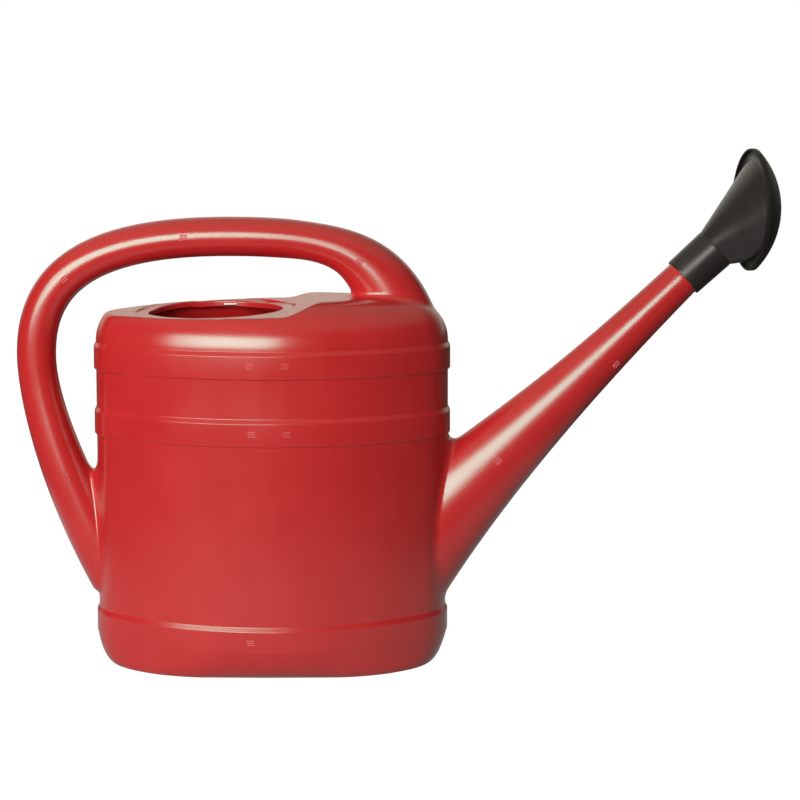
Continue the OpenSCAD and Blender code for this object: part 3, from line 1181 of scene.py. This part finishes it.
@dataclass
class Handle(Limb):
    """Grip that rises from the crown, runs back over the filler and comes down to the rear wall.

    Attributes:
        grip_r: Radius of the grip.
        rise: Height of the grip's top over the crown.
        reach: How far the grip stands out behind the oval.
        root_back: How far the front root lies in from the oval's front end.
        root_lean: How far the front root leans back, in degrees.
        root_r: Radii of the front root, in the parting plane and across it.
        grip_back: How far the grip's top lies behind the can's middle.
        back_z: Height of the rearmost place.
        tail_r: Radii of the rear root, in the parting plane and across it.
        tail_z: Height at which the centre line crosses the oval's rear end.
        tail_angle: How steeply the centre line runs down there, in degrees.
        sink: How far the centre line runs on into the tank, at the front and at the rear.
        waist: How much slimmer the upper side is above the front root.
        pulls: Shares of the chord for which each part of the centre line keeps to its two headings.
    """

    grip_r: float = 15.8
    rise: float = 64.5
    reach: float = 64.1
    root_back: float = 32.5
    root_lean: float = 14.0
    root_r: tuple[float, float] = (29.0, 21.0)
    grip_back: float = 35.0
    back_z: float = 252.0
    tail_r: tuple[float, float] = (22.0, 23.0)
    tail_z: float = 93.0
    tail_angle: float = 61.0
    sink: tuple[float, float] = (4.0, 47.0)
    waist: float = 1.9
    pulls: tuple[tuple[float, float], ...] = ((0.47, 0.5), (0.585, 0.365), (0.15, 0.54))

    @property
    def line(self) -> list[Array]:
        """Return the control points of the three parts of its centre line.

        Returns:
            list[Array]: Control points of each part, from the front root to the rear root.
        """
        half = self.tank.plan.length / 2
        angles = (90 + self.root_lean, 180, 270, -self.tail_angle)
        places = (np.array([half - self.root_back, self.tank.crown_z]) - self.sink[0] * heading(angles[0]),
                  np.array([-self.grip_back, self.tank.height + self.rise - self.grip_r]),
                  np.array([-(half + self.reach - self.grip_r), self.back_z]),
                  np.array([-half, self.tail_z]) + self.sink[1] * heading(angles[3]))
        return [rail(places[i], angles[i], a, places[i + 1], angles[i + 1], b)
                for i, (a, b) in enumerate(self.pulls)]

    def at(self, t: Number, inset: float = 0.0) -> Array:
        """Return the points of the tube's columns at a place from 0 to 3 along it.

        Args:
            t: Place along the tube, for all columns or for each.
            inset: How far the columns are drawn in.

        Returns:
            Array: One point for each column.
        """
        t = np.broadcast_to(t, (self.sides,)).astype(float)
        part = np.clip(np.floor(t), 0, 2).astype(int)
        local = t - part
        place, along = np.zeros((self.sides, 2)), np.zeros((self.sides, 2))
        for k, p in enumerate(self.line):
            here = part == k
            if here.any():
                place[here], along[here] = on_curve(p, local[here])
        grip = np.full((self.sides, 2), self.grip_r)
        front = lerp(np.array(self.root_r), grip, ease(local / 0.75)[:, None])
        waist = self.waist * ease((local - 0.36) / 0.18) * ease((0.85 - local) / 0.3)
        front[:, 0] -= waist * np.maximum(np.cos(self.angles), 0) ** 2
        rear = lerp(grip, np.array(self.tail_r), ease(np.clip(local, 0, None) ** 1.3)[:, None])
        radii = np.where((part == 0)[:, None], front, np.where((part == 1)[:, None], grip, rear)) - inset
        up = np.stack([-along[:, 1], along[:, 0]], -1)
        return self.in_space(place + up * (radii[:, 0] * np.cos(self.angles))[:, None],
                             radii[:, 1] * np.sin(self.angles))

    def build(self) -> bpy.types.Object:
        """Make the handle as one closed hollow skin.

        Returns:
            bpy.types.Object: The handle.
        """
        facing = np.cos(self.angles)
        leave_front, front = self.root(0.05, 0.6, radius=lerp(8.0, 5.4, ease(facing + 0.4)),
                                       least=3.0, most=14.0)
        leave_rear, rear = self.root(2.95, 2.3, radius=lerp(13.0, 9.0, ease(facing)),
                                     least=lerp(5.0, 1.2, ease(-facing)), most=28.0, rows=16)
        outer = [self.at(lerp(leave_front, leave_rear, k)) for k in np.linspace(0, 1, 150)]
        in_front, in_rear = (self.meets(*ends, -1.2, self.wall) for ends in ((0.02, 0.6), (2.97, 2.3)))
        inner = [self.at(lerp(in_rear, in_front, k), self.wall) for k in np.linspace(0, 1, 40)]
        self.rings = np.array(front[:-2][::-1] + outer + rear[:-2])
        return piece_from_rows("can_handle", np.array(front[::-1] + outer + rear + inner)[:, ::-1])


@dataclass
class Spout(Limb):
    """Long spout that tapers from the front wall to the tip that carries the rose.

    Attributes:
        tip: Place of the shoulder's centre, along and up.
        tip_angle: How steeply the tip rises, in degrees.
        tip_taper: How much more steeply the lower edge arrives at the tip, in degrees.
        shoulder_r: Radius of the shoulder on which the rose is seated.
        spigot_r: Radius of the spigot.
        spigot_l: Length of the spigot.
        side_r: Half the width of the spout's foot.
        low: Height at which the lower edge crosses the oval's front end.
        high: Height at which the upper edge crosses the oval's front end.
        high_angle: How steeply the upper edge leaves the tank, in degrees.
        low_angle: How steeply the lower edge leaves the tank, in degrees.
        root_in: How far the edges start inside the oval.
        pulls: Shares of the chord for which the upper and the lower edge keep to their headings.
    """

    tip: tuple[float, float] = (333.9, 316.0)
    tip_angle: float = 43.0
    tip_taper: float = 3.8
    shoulder_r: float = 14.9
    spigot_r: float = 14.1
    spigot_l: float = 29.0
    side_r: float = 30.0
    low: float = 54.0
    high: float = 177.0
    high_angle: float = 36.0
    low_angle: float = 60.0
    root_in: float = 14.0
    pulls: tuple[float, float] = (0.42, 1 / 3)

    @property
    def rails(self) -> list[Array]:
        """Return the control points of its upper and lower edge.

        Returns:
            list[Array]: Control points of the upper edge, then of the lower.
        """
        inside = self.tank.plan.length / 2 - self.root_in
        up, edges = heading(90 + self.tip_angle) * self.shoulder_r, []
        for side, z, angle, taper, pull in ((1, self.high, self.high_angle, 0.0, self.pulls[0]),
                                            (-1, self.low, self.low_angle, self.tip_taper, self.pulls[1])):
            start, end = np.array([inside, z - self.root_in * slope(angle)]), np.array(self.tip) + side * up
            edges.append(rail(start, angle, pull, end, self.tip_angle + taper, pull))
        return edges

    def at(self, t: Number, inset: float = 0.0) -> Array:
        """Return the points of the tube's columns at a place from 0 to 1 along it.

        Args:
            t: Place along the tube, for all columns or for each.
            inset: How far the columns are drawn in.

        Returns:
            Array: One point for each column.
        """
        t = np.broadcast_to(t, (self.sides,)).astype(float)
        upper, lower = (on_curve(p, t)[0] for p in self.rails)
        half = (upper - lower) / 2
        reach = np.linalg.norm(half, axis=-1)
        up = half / reach[:, None]
        flat = (upper + lower) / 2 + up * ((reach - inset) * np.cos(self.angles))[:, None]
        width = lerp(self.shoulder_r, self.side_r, (1 - t) ** 2) - inset
        return self.in_space(flat, width * np.sin(self.angles))

    def tip_ring(self, z: float, r: float) -> Array:
        """Return a ring round the tip's axis.

        Args:
            z: Distance from the shoulder, along the tip.
            r: Its radius.

        Returns:
            Array: Points of the ring.
        """
        along, up = heading(self.tip_angle), heading(90 + self.tip_angle)
        flat = np.array(self.tip) + z * along + np.outer(r * np.cos(self.angles), up)
        return self.in_space(flat, r * np.sin(self.angles))

    def build(self) -> bpy.types.Object:
        """Make the spout, its spigot and its bore as one closed hollow skin.

        Returns:
            bpy.types.Object: The spout.
        """
        leave, root = self.root(0.02, 0.4, radius=8.0, least=5.0, most=16.0, rows=12)
        outer = [self.at(lerp(leave, 1.0, k)) for k in np.linspace(0, 1, 110)]
        shoulder, spigot, length = self.shoulder_r, self.spigot_r, self.spigot_l
        bore = spigot - self.wall
        end = [self.tip_ring(z, r) for z, r in (
            (0.35, shoulder - 0.08), (0.5, shoulder - 0.3), (0.5, spigot + 0.2), (0.6, spigot),
            (1.2, spigot), (14, spigot), (length - 1, spigot), (length - 0.3, spigot - 0.2),
            (length, spigot - 0.8), (length, bore + 0.5), (length - 0.3, bore), (10, bore), (0, bore),
            (-8, bore - 0.4))]
        inside = self.meets(0.02, 0.4, -1.2, self.wall)
        inner = [self.at(lerp(0.93, inside, k), self.wall) for k in np.linspace(0, 1, 30)]
        self.rings = np.array(root[:-2][::-1] + outer)
        return piece_from_rows("can_spout", np.array(root[::-1] + outer + end + inner))


# ---------------------------------------------------------------------------------------------
# Traces of the mould


@dataclass
class MouldTraces:
    """Traces that the blow mould leaves on the can: the marks of its vents and its parting line.

    Attributes:
        tank: The can's tank.
        handle: The can's handle.
        spout: The can's spout.
        bars: Raised bars of each vent mark.
        bar: Length, width and height of a bar.
        pitch: Distance from bar to bar.
        inside: How far the marks keep within the can's box, over a bar's height.
        bead_r: Radius of the bead along the parting line.
        on_tank: Places of the marks on the tank's bands, along and up.
        on_handle: Places of the marks on the handle, along and up.
        on_spout: Places of the marks on the spout, along and up.
    """

    tank: Tank
    handle: Handle
    spout: Spout
    bars: int = 3
    bar: Point = (6.0, 1.15, 0.45)
    pitch: float = 1.7
    inside: float = 0.22
    bead_r: float = 0.15
    on_tank: tuple[tuple[float, float], ...] = (
        (-13.4, 253.9), (13.6, 253.9), (-12.3, 200.6), (14.9, 200.6), (-14.4, 33.5))
    on_handle: tuple[tuple[float, float], ...] = (
        (-67.2, 348.6), (72.0, 330.3), (-165.5, 316.6), (-167.5, 154.3))
    on_spout: tuple[tuple[float, float], ...] = ((185.3, 169.3), (279.4, 245.8))

    def tank_spot(self, x: float, z: float) -> tuple[Array, Array, Array]:
        """Return a mark's spot on a band of the tank.

        Args:
            x: Its place along the can.
            z: Its height.

        Returns:
            tuple[Array, Array, Array]: Its place, its outward direction and the way that its bars run.
        """
        p = np.array([x, -self.tank.plan.depth / 2, z])
        for _ in range(4):
            p[1] += self.tank.distance(p)
        out = self.tank.normal(p)
        p = p + out * (self.tank.band_out + 0.08)
        p[1] = max(p[1], CAD_BOX[0][1] / MM + self.bar[2] + self.inside)
        return p, out, np.array([1.0, 0.0, 0.0])

    def limb_spot(self, limb: Limb, x: float, z: float) -> tuple[Array, Array, Array]:
        """Return a mark's spot on the near side of a limb.

        Args:
            limb: The handle or the spout.
            x: Its place along the can.
            z: Its height.

        Returns:
            tuple[Array, Array, Array]: Its place, its outward direction and the way that its bars run.
        """
        rings = limb.rings
        off = np.hypot(rings[..., 0] - x, rings[..., 2] - z) + np.where(rings[..., 1] > 0, 999.0, 0.0)
        i, j = np.unravel_index(np.argmin(off), off.shape)
        way = unit(rings[i + 1, j] - rings[i - 1, j])
        out = unit(np.cross(way, rings[i, (j + 1) % limb.sides] - rings[i, j - 1]))
        return rings[i, j], out * -np.sign(out[1]), way

    def build_marks(self) -> bpy.types.Object:
        """Make the vent marks.

        Returns:
            bpy.types.Object: The marks, as one piece.
        """
        spots = [self.tank_spot(*spot) for spot in self.on_tank]
        spots += [self.limb_spot(self.handle, *spot) for spot in self.on_handle]
        spots += [self.limb_spot(self.spout, *spot) for spot in self.on_spout]
        places, outs, ways = (np.array(column) for column in zip(*spots))
        base = bpy.data.meshes.new("vent_places")
        base.from_pydata((places * MM).tolist(), [], [])
        for name, values in (("out", outs), ("way", ways)):
            base.attributes.new(name, "FLOAT_VECTOR", "POINT").data.foreach_set("vector", values.ravel())
        return self._mark_recipe().make("can_vent_marks", base, {
            "Bars": self.bars, "Pitch": self.pitch * MM, "Length": self.bar[0] * MM,
            "Width": self.bar[1] * MM, "Height": self.bar[2] * MM, "Finish": VENT_RED.material()})

    @staticmethod
    def _mark_recipe() -> Recipe:
        """Return the tree that stands a row of half-round bars on every point.

        Returns:
            Recipe: The tree.
        """
        tree = Recipe("vent_marks")
        bars, pitch = tree.size("Bars", "Int"), tree.size("Pitch")
        length, width, height = tree.size("Length"), tree.size("Width"), tree.size("Height")
        rod = tree.node("GeometryNodeMeshCylinder", {
            "Vertices": 12, "Radius": tree.math("MULTIPLY", width, 0.5), "Depth": length})
        thin = tree.math("DIVIDE", tree.math("MULTIPLY", height, 2.0), width)
        flat = tree.node("GeometryNodeTransform", {"Geometry": rod, "Rotation": (0.0, math.pi / 2, 0.0)})
        bar = tree.node("GeometryNodeTransform", {"Geometry": flat, "Scale": tree.vector(1.0, 1.0, thin)})
        first = tree.math("MULTIPLY", tree.math("MULTIPLY", tree.math("SUBTRACT", bars, 1.0), pitch), -0.5)
        line = tree.node("GeometryNodeMeshLine", {
            "Count": bars, "Start Location": tree.vector(y=first), "Offset": tree.vector(y=pitch)})
        out, way = (tree.node("GeometryNodeInputNamedAttribute", {"Name": name}, data_type="FLOAT_VECTOR")
                    for name in ("out", "way"))
        stood = tree.node("FunctionNodeAlignRotationToVector", {"Vector": out}, axis="Z")
        turned = tree.node("FunctionNodeAlignRotationToVector", {"Rotation": stood, "Vector": way},
                           axis="X", pivot_axis="Z")
        tree.close(tree.spread(tree.base, tree.spread(line, bar), turned))
        return tree

    def build_bead(self) -> bpy.types.Object:
        """Make the bead along the parting line of the tank, the handle and the spout.

        Returns:
            bpy.types.Object: The bead, as one piece.
        """
        lines = [self.tank.seam]
        lines += [limb.rings[:, side] for limb in (self.handle, self.spout) for side in (0, limb.sides // 2)]
        points = np.concatenate(lines)
        points[:, 2] = np.maximum(points[:, 2], self.bead_r)
        ends = np.cumsum([len(line) for line in lines])
        edges = [(i, i + 1) for i in range(len(points) - 1) if i + 1 not in ends]
        base = bpy.data.meshes.new("parting_line")
        base.from_pydata((points * MM).tolist(), edges, [])
        tree = Recipe("parting_bead")
        radius = tree.size("Radius")
        ring = tree.node("GeometryNodeCurvePrimitiveCircle", {"Resolution": 6, "Radius": radius})
        path = tree.node("GeometryNodeMeshToCurve", {"Mesh": tree.base})
        tree.close(tree.node("GeometryNodeCurveToMesh", {
            "Curve": path, "Profile Curve": ring, "Fill Caps": True}))
        return tree.make("can_parting_bead", base, {
            "Radius": self.bead_r * MM, "Finish": CAN_RED.material()}, crease=80)


# ---------------------------------------------------------------------------------------------
# The rose


@dataclass
class Rose:
    """Rose that turns on the spigot: a funnel with its socket and flange, and the face cap.

    Attributes:
        spout: The spout that carries it.
        end_gap: Gap between the shoulder and the rose's mouth.
        turn_gap: Gap round the spigot.
        socket_l: Length of the socket.
        socket_r: Radius of the socket at its mouth.
        collar_r: Radius of the socket where the funnel starts.
        bend: Angle between the socket's axis and the face's, in degrees.
        length: Distance from the mouth to the back of the face cap, along the socket.
        face_lift: How far the face's middle lies beside the socket's axis.
        turned: How far the rose is turned at rest, in degrees.
        face_r: Radius of the face cap.
        skirt_h: Height of the cap's skirt.
        dome_h: Height of the dome over the skirt.
        wall: Thickness of the wall.
        hole_d: Diameter of a spray hole.
        hole_pitch: Distance from ring to ring of the spray holes.
        hole_rings: Rings of spray holes round the middle one.
        flange_fit: Gap between the flange and the cap's pocket.
        flange_t: Thickness of the flange.
        flange_z: How deep in the cap the flange lies.
        cone_r: Radius of the funnel at its flange.
        sides: Points of each ring.
    """

    spout: Spout
    end_gap: float = 0.3
    turn_gap: float = 0.05
    socket_l: float = 35.0
    socket_r: float = 17.0
    collar_r: float = 17.6
    bend: float = 43.0
    length: float = 75.0
    face_lift: float = 5.2
    turned: float = 6.0
    face_r: float = 49.0
    skirt_h: float = 3.5
    dome_h: float = 20.0
    wall: float = 2.0
    hole_d: float = 2.0
    hole_pitch: float = 7.6
    hole_rings: int = 5
    flange_fit: float = 0.1
    flange_t: float = 1.6
    flange_z: float = 2.2
    cone_r: float = 41.4
    sides: int = 144

    @property
    def place(self) -> Matrix:
        """Return the place of the rose's mouth, turned with the rose.

        Returns:
            Matrix: The place, in millimetres.
        """
        x, z = self.spout.tip
        tilt = Matrix.Rotation(math.radians(90 - self.spout.tip_angle), 4, "Y")
        turn = Matrix.Rotation(math.radians(self.turned), 4, "Z")
        return Matrix.Translation((x, 0, z)) @ tilt @ Matrix.Translation((0, 0, self.end_gap)) @ turn

    @property
    def face(self) -> Matrix:
        """Return the place of the back of the face cap."""
        return (self.place @ Matrix.Translation((-self.face_lift, 0, self.length))
                @ Matrix.Rotation(math.radians(self.bend), 4, "Y"))

    @property
    def flange_r(self) -> float:
        """Return the radius of the funnel's flange."""
        return self.face_r - self.wall - self.flange_fit

    @property
    def ball_r(self) -> float:
        """Return the radius of the face's dome."""
        return (self.face_r**2 + self.dome_h**2) / (2 * self.dome_h)

    @property
    def ball_z(self) -> float:
        """Return the height of the dome's centre over the back of the face cap."""
        return self.skirt_h + self.dome_h - self.ball_r

    def ring(self, z: float, r: float, place: Matrix | None = None) -> Array:
        """Return a ring about an axis.

        Args:
            z: Its height.
            r: Its radius.
            place: Place that it is brought to, or None where it stays.

        Returns:
            Array: Points of the ring.
        """
        a = 2 * math.pi * np.arange(self.sides) / self.sides
        points = np.stack([r * np.cos(a), r * np.sin(a), np.full_like(a, z)], -1)
        if place is None:
            return points
        turn = np.array(place)
        return points @ turn[:3, :3].T + turn[:3, 3]

    def build_funnel(self) -> bpy.types.Object:
        """Make the socket, the funnel and the flange as one closed skin.

        Returns:
            bpy.types.Object: The funnel.
        """
        spigot, spigot_l = self.spout.spigot_r, self.spout.spigot_l
        bore, throat = spigot + self.turn_gap, spigot - self.spout.wall
        mouth, collar, top = self.socket_r, self.collar_r, self.socket_l
        cone, flange, back = self.cone_r, self.flange_r, self.flange_z
        seat = back + self.flange_t
        at_socket, at_face = self.place, self.face
        outside = [(0.6, bore), (0.1, bore + 0.35), (0, bore + 0.8), (0, mouth - 0.6), (0.15, mouth - 0.18),
                   (0.6, mouth), (1.2, mouth)]
        outside += [(top * k, lerp(mouth, collar, k)) for k in (0.2, 0.4, 0.6, 0.8, 0.93)]
        outside += [(top - 1.0, collar - 0.02), (top - 0.4, collar - 0.12)]
        rows = [self.ring(z, r, at_socket) for z, r in outside]
        start, end = self.ring(top - 0.2, collar - 0.35, at_socket), self.ring(back, cone, at_face)
        rows += [lerp(start, end, k) for k in
                 (0, 0.012, 0.03, 0.1, 0.2, 0.3, 0.4, 0.5, 0.6, 0.7, 0.8, 0.9, 0.97, 0.99)]
        rows += [self.ring(z, r, at_face) for z, r in (
            (back, cone + 0.8), (back, flange - 0.3), (back + 0.2, flange), (seat, flange),
            (seat, cone - self.wall))]
        start = self.ring(back + 1.0, cone - self.wall, at_face)
        end = self.ring(top - 1, throat + 0.5, at_socket)
        rows += [lerp(start, end, k) for k in (0, 0.3, 0.6, 1)]
        rows += [self.ring(z, r, at_socket) for z, r in (
            (top - 4, throat), (spigot_l + 0.3, throat), (spigot_l + 0.3, bore), (15, bore))]
        return piece_from_rows("rose_funnel_body", np.array(rows), crease=28)

    def build_face(self) -> bpy.types.Object:
        """Make the face cap and drill its spray holes.

        Returns:
            bpy.types.Object: The face cap.
        """
        face_r, skirt, seat = self.face_r, self.skirt_h, self.flange_z + self.flange_t
        pocket, inside = self.flange_r + self.flange_fit, self.flange_r - self.wall

        def on_ball(radius: float, r: float) -> tuple[float, float]:
            """Return the place across and the height of a dome at a distance from its axis."""
            return r, self.ball_z + math.sqrt(radius**2 - r * r)

        profile = [(pocket, 0.0), (face_r - 0.4, 0.0), (face_r, 0.4), (face_r, 1.2), (face_r, skirt - 0.35),
                   (face_r - 0.12, skirt + 0.12)]
        profile += [on_ball(self.ball_r, r) for r in
                    (face_r - 0.5, face_r - 1.2, *np.linspace(face_r - 2.5, 2.0, 22))]
        # A tiny ring at the top of each dome closes it
        profile += [(0.02, self.ball_z + r) for r in (self.ball_r, self.ball_r - self.wall)]
        profile += [on_ball(self.ball_r - self.wall, r) for r in np.linspace(2.0, inside, 14)]
        profile += [(inside, seat), (pocket, seat)]
        rows = np.array([self.ring(z, r) for r, z in profile])
        blank = piece_from_rows("rose_face_blank", rows, crease=28)
        mesh = blank.data
        bpy.data.objects.remove(blank)
        place = self.face
        place.translation *= MM
        return self._spray_recipe().make("rose_face_cap", mesh, {
            "Rings": self.hole_rings, "Pitch": self.hole_pitch * MM, "Hole Radius": self.hole_d / 2 * MM,
            "Ball Radius": self.ball_r * MM, "Ball Height": self.ball_z * MM, "Wall": self.wall * MM,
            "Finish": CAP_BLACK.material()}, place, crease=28)

    @staticmethod
    def _spray_recipe() -> Recipe:
        """Return the tree that drills rings of holes square to the dome.

        Returns:
            Recipe: The tree.
        """
        tree = Recipe("spray_holes")
        rings, pitch, radius = tree.size("Rings", "Int"), tree.size("Pitch"), tree.size("Hole Radius")
        ball, height, wall = tree.size("Ball Radius"), tree.size("Ball Height"), tree.size("Wall")
        # One hole in the middle and six more in each ring than in the ring before
        count = tree.math("MULTIPLY", rings, tree.math("ADD", rings, 1.0))
        count = tree.math("MULTIPLY_ADD", count, 3.0, 1.0)
        points = tree.node("GeometryNodePoints", {"Count": count})
        n = tree.node("GeometryNodeInputIndex")
        root = tree.math("SQRT", tree.math("MULTIPLY_ADD", n, 12.0, 9.0))
        at = tree.math("DIVIDE", tree.math("SUBTRACT", root, 3.0), 6.0)
        ring = tree.math("CEIL", tree.math("SUBTRACT", at, 0.001))
        before = tree.math("MULTIPLY", tree.math("MULTIPLY", ring, tree.math("SUBTRACT", ring, 1.0)), 3.0)
        step = tree.math("SUBTRACT", tree.math("SUBTRACT", n, before), 0.5)
        turn = tree.math("MULTIPLY", tree.math("DIVIDE", step, tree.math("MAXIMUM", ring, 1.0)), math.pi / 3)
        tilt = tree.math("ARCSINE", tree.math("DIVIDE", tree.math("MULTIPLY", ring, pitch), ball))
        x, y = (tree.math("MULTIPLY", tree.math("SINE", tilt), tree.math(part, turn))
                for part in ("COSINE", "SINE"))
        way = tree.vector(x, y, tree.math("COSINE", tilt))
        out = tree.node("ShaderNodeVectorMath", {"Vector": way, "Scale": ball}, operation="SCALE")
        spot = tree.node("ShaderNodeVectorMath", {0: out, 1: tree.vector(z=height)}, operation="ADD")
        placed = tree.node("GeometryNodeSetPosition", {"Geometry": points, "Position": spot})
        drill = tree.node("GeometryNodeMeshCylinder", {
            "Vertices": 14, "Radius": radius, "Depth": tree.math("MULTIPLY", wall, 4.0)})
        turned = tree.node("FunctionNodeAlignRotationToVector", {"Vector": way}, axis="Z")
        drills = tree.spread(placed, drill, turned)
        tree.close(tree.node("GeometryNodeMeshBoolean", {"Mesh 1": tree.base, "Mesh 2": drills}, "Mesh",
                             operation="DIFFERENCE", solver="EXACT"))
        return tree


# ---------------------------------------------------------------------------------------------
# Studio


@dataclass(frozen=True)
class SoftLamp:
    """Soft area lamp aimed at the can.

    Attributes:
        name: Name of the lamp.
        place: Its place in metres.
        size: Its width and height in metres.
        power: Its power in watts.
        colour: Its linear colour.
        aim: Point that it looks at, in metres.
        glossy: Whether gloss mirrors it.
        diffuse: Whether it lights the plain colour.
    """

    name: str
    place: Point
    size: tuple[float, float]
    power: float
    colour: Colour = (1.0, 1.0, 1.0)
    aim: Point = (0.03, 0.0, 0.2)
    glossy: bool = True
    diffuse: bool = True

    def build(self) -> None:
        """Make the lamp."""
        light = bpy.data.lights.new(self.name, "AREA")
        light.shape = "RECTANGLE"
        light.size, light.size_y = self.size
        light.energy, light.color = self.power, self.colour
        lamp = linked(bpy.data.objects.new(self.name, light))
        lamp.location = self.place
        lamp.rotation_euler = (Vector(self.aim) - Vector(self.place)).to_track_quat("-Z", "Y").to_euler()
        lamp.visible_camera, lamp.visible_glossy, lamp.visible_diffuse = False, self.glossy, self.diffuse


@dataclass
class Studio:
    """White studio: camera, soft lamps, pale floor and a white surround.

    Attributes:
        lamps: Its lamps.
        camera_place: Place of the camera in metres.
        camera_pitch: How far the camera looks down, in degrees.
        lens: Focal length in millimetres, on a sensor 36 mm wide.
        shift: Sideways shift of the lens.
        ambient: Brightness of the surround for the plain colours.
        above: Colour of the backdrop and the ceiling as gloss mirrors them.
        below: Colour of the rest of the surround as gloss mirrors it.
        ceiling: Brightness of the ceiling beside the backdrop.
        floor_half: Half the width of the floor in metres.
        floor_tone: Reflectance of the floor.
    """

    lamps: tuple[SoftLamp, ...] = (
        SoftLamp("key", (-0.79, -1.76, 0.77), (1.8, 1.0), 45.0, (1.0, 0.97, 0.92)),
        SoftLamp("shine", (-0.53, -1.85, 0.77), (1.35, 0.9), 12.0, (1.0, 0.97, 0.92), diffuse=False),
        SoftLamp("top", (-0.2, 0.0, 2.2), (1.8, 1.6), 1.5, glossy=False),
        SoftLamp("rear", (0.5, 1.9, 0.9), (1.4, 1.0), 26.0, glossy=False),
    )
    camera_place: Point = (0.060, -1.420, 0.4352)
    camera_pitch: float = 8.78
    lens: float = 78.84
    shift: float = 0.069
    ambient: float = 0.035
    above: Colour = (0.80, 0.79, 0.67)
    below: Colour = (0.10, 0.09, 0.07)
    ceiling: float = 0.6
    floor_half: float = 0.75
    floor_tone: float = 0.10

    def build(self) -> None:
        """Make the camera, the lamps, the surround and the floor."""
        self._camera()
        for lamp in self.lamps:
            lamp.build()
        self._world()
        self._floor()
        bpy.context.scene.view_settings.view_transform = "Standard"

    def _camera(self) -> None:
        """Make the camera."""
        data = bpy.data.cameras.new("camera")
        data.lens, data.sensor_width, data.shift_x = self.lens, 36.0, self.shift
        data.clip_start, data.clip_end = 0.05, 50.0
        camera = linked(bpy.data.objects.new("camera", data))
        camera.location = self.camera_place
        camera.rotation_euler = (math.radians(90 - self.camera_pitch), 0, 0)
        bpy.context.scene.camera = camera

    def _world(self) -> None:
        """Make the surround: white to the eye, a white backdrop behind the can, dim in front."""
        world = bpy.data.worlds.new("studio")
        bpy.context.scene.world = world
        world.use_nodes = True
        tree = NodeTree(world.node_tree)
        way = tree.node("ShaderNodeTexCoord", outlet="Generated")
        y, z = (tree.node("ShaderNodeSeparateXYZ", {0: way}, axis) for axis in "YZ")
        glossy, camera = tree.ray("Glossy"), tree.ray("Camera")
        backdrop = tree.math("MULTIPLY", tree.rise(y, 0.35, 0.85), tree.rise(z, -0.02, 0.10))
        pale = tree.math("MAXIMUM", backdrop, tree.math("MULTIPLY", tree.rise(z, 0.5, 0.8), self.ceiling))
        mirrored = tree.blend(pale, self.below, self.above)
        lit = tree.blend(glossy, (self.ambient, self.ambient, self.ambient), mirrored)
        tree.fill(world.node_tree.nodes["Background"], {
            "Color": tree.blend(camera, lit, (1.0, 1.0, 1.0)), "Strength": 1.0})

    def _floor(self) -> None:
        """Make the pale floor, which keeps the can's shadow."""
        mesh = bpy.data.meshes.new("floor")
        half = self.floor_half
        corners = [(-half, -half, 0), (half, -half, 0), (half, half, 0), (-half, half, 0)]
        mesh.from_pydata(corners, [], [(0, 1, 2, 3)])
        floor = linked(bpy.data.objects.new("floor", mesh))
        made = bpy.data.materials.new("floor_white")
        made.use_nodes = True
        tree = NodeTree(made.node_tree)
        place = tree.node("ShaderNodeTexCoord", outlet="Object")
        x, y = (tree.node("ShaderNodeSeparateXYZ", {0: place}, axis) for axis in "XY")
        glossy, camera = tree.ray("Glossy"), tree.ray("Camera")
        # Gloss mirrors a glow that fades outwards and is brighter at the rear on the handle's side
        corner = tree.math("MULTIPLY", tree.rise(x, -0.15, -0.45), tree.rise(y, -0.1, 0.2))
        reach = tree.node("ShaderNodeVectorMath", {0: place}, "Value", operation="LENGTH")
        near = tree.rise(reach, 0.56, 0.40, 0.05)
        mirrored = tree.math("MULTIPLY", tree.math("MULTIPLY_ADD", corner, 0.5, 0.36), near)
        glow = tree.choose(camera, tree.choose(glossy, 0.02, mirrored), 0.95)
        tree.fill(made.node_tree.nodes["Principled BSDF"], {
            "Base Color": (self.floor_tone, self.floor_tone, self.floor_tone, 1), "Roughness": 0.9,
            "Emission Color": (1, 1, 1, 1), "Emission Strength": glow})
        mesh.materials.append(made)


def main() -> None:
    """Build the watering can and its studio."""
    logging.basicConfig(level=logging.INFO, format="%(message)s")
    tank = Tank()
    dress(tank.build(), CAN_RED, Body.CAN, Slot.CAN, "tank")
    handle = Handle(tank)
    dress(handle.build(), CAN_RED, Body.CAN, Slot.CAN, "handle")
    spout = Spout(tank)
    dress(spout.build(), CAN_RED, Body.CAN, Slot.CAN, "spout")
    traces = MouldTraces(tank, handle, spout)
    dress(traces.build_marks(), VENT_RED, Body.CAN, Slot.CAN)
    dress(traces.build_bead(), CAN_RED, Body.CAN, Slot.CAN)
    rose = Rose(spout)
    dress(rose.build_funnel(), ROSE_BLACK, Body.ROSE, Slot.ROSE, "rose_funnel")
    dress(rose.build_face(), CAP_BLACK, Body.ROSE, Slot.ROSE, "rose_face")
    Studio().build()


if __name__ == "__main__":
    main()
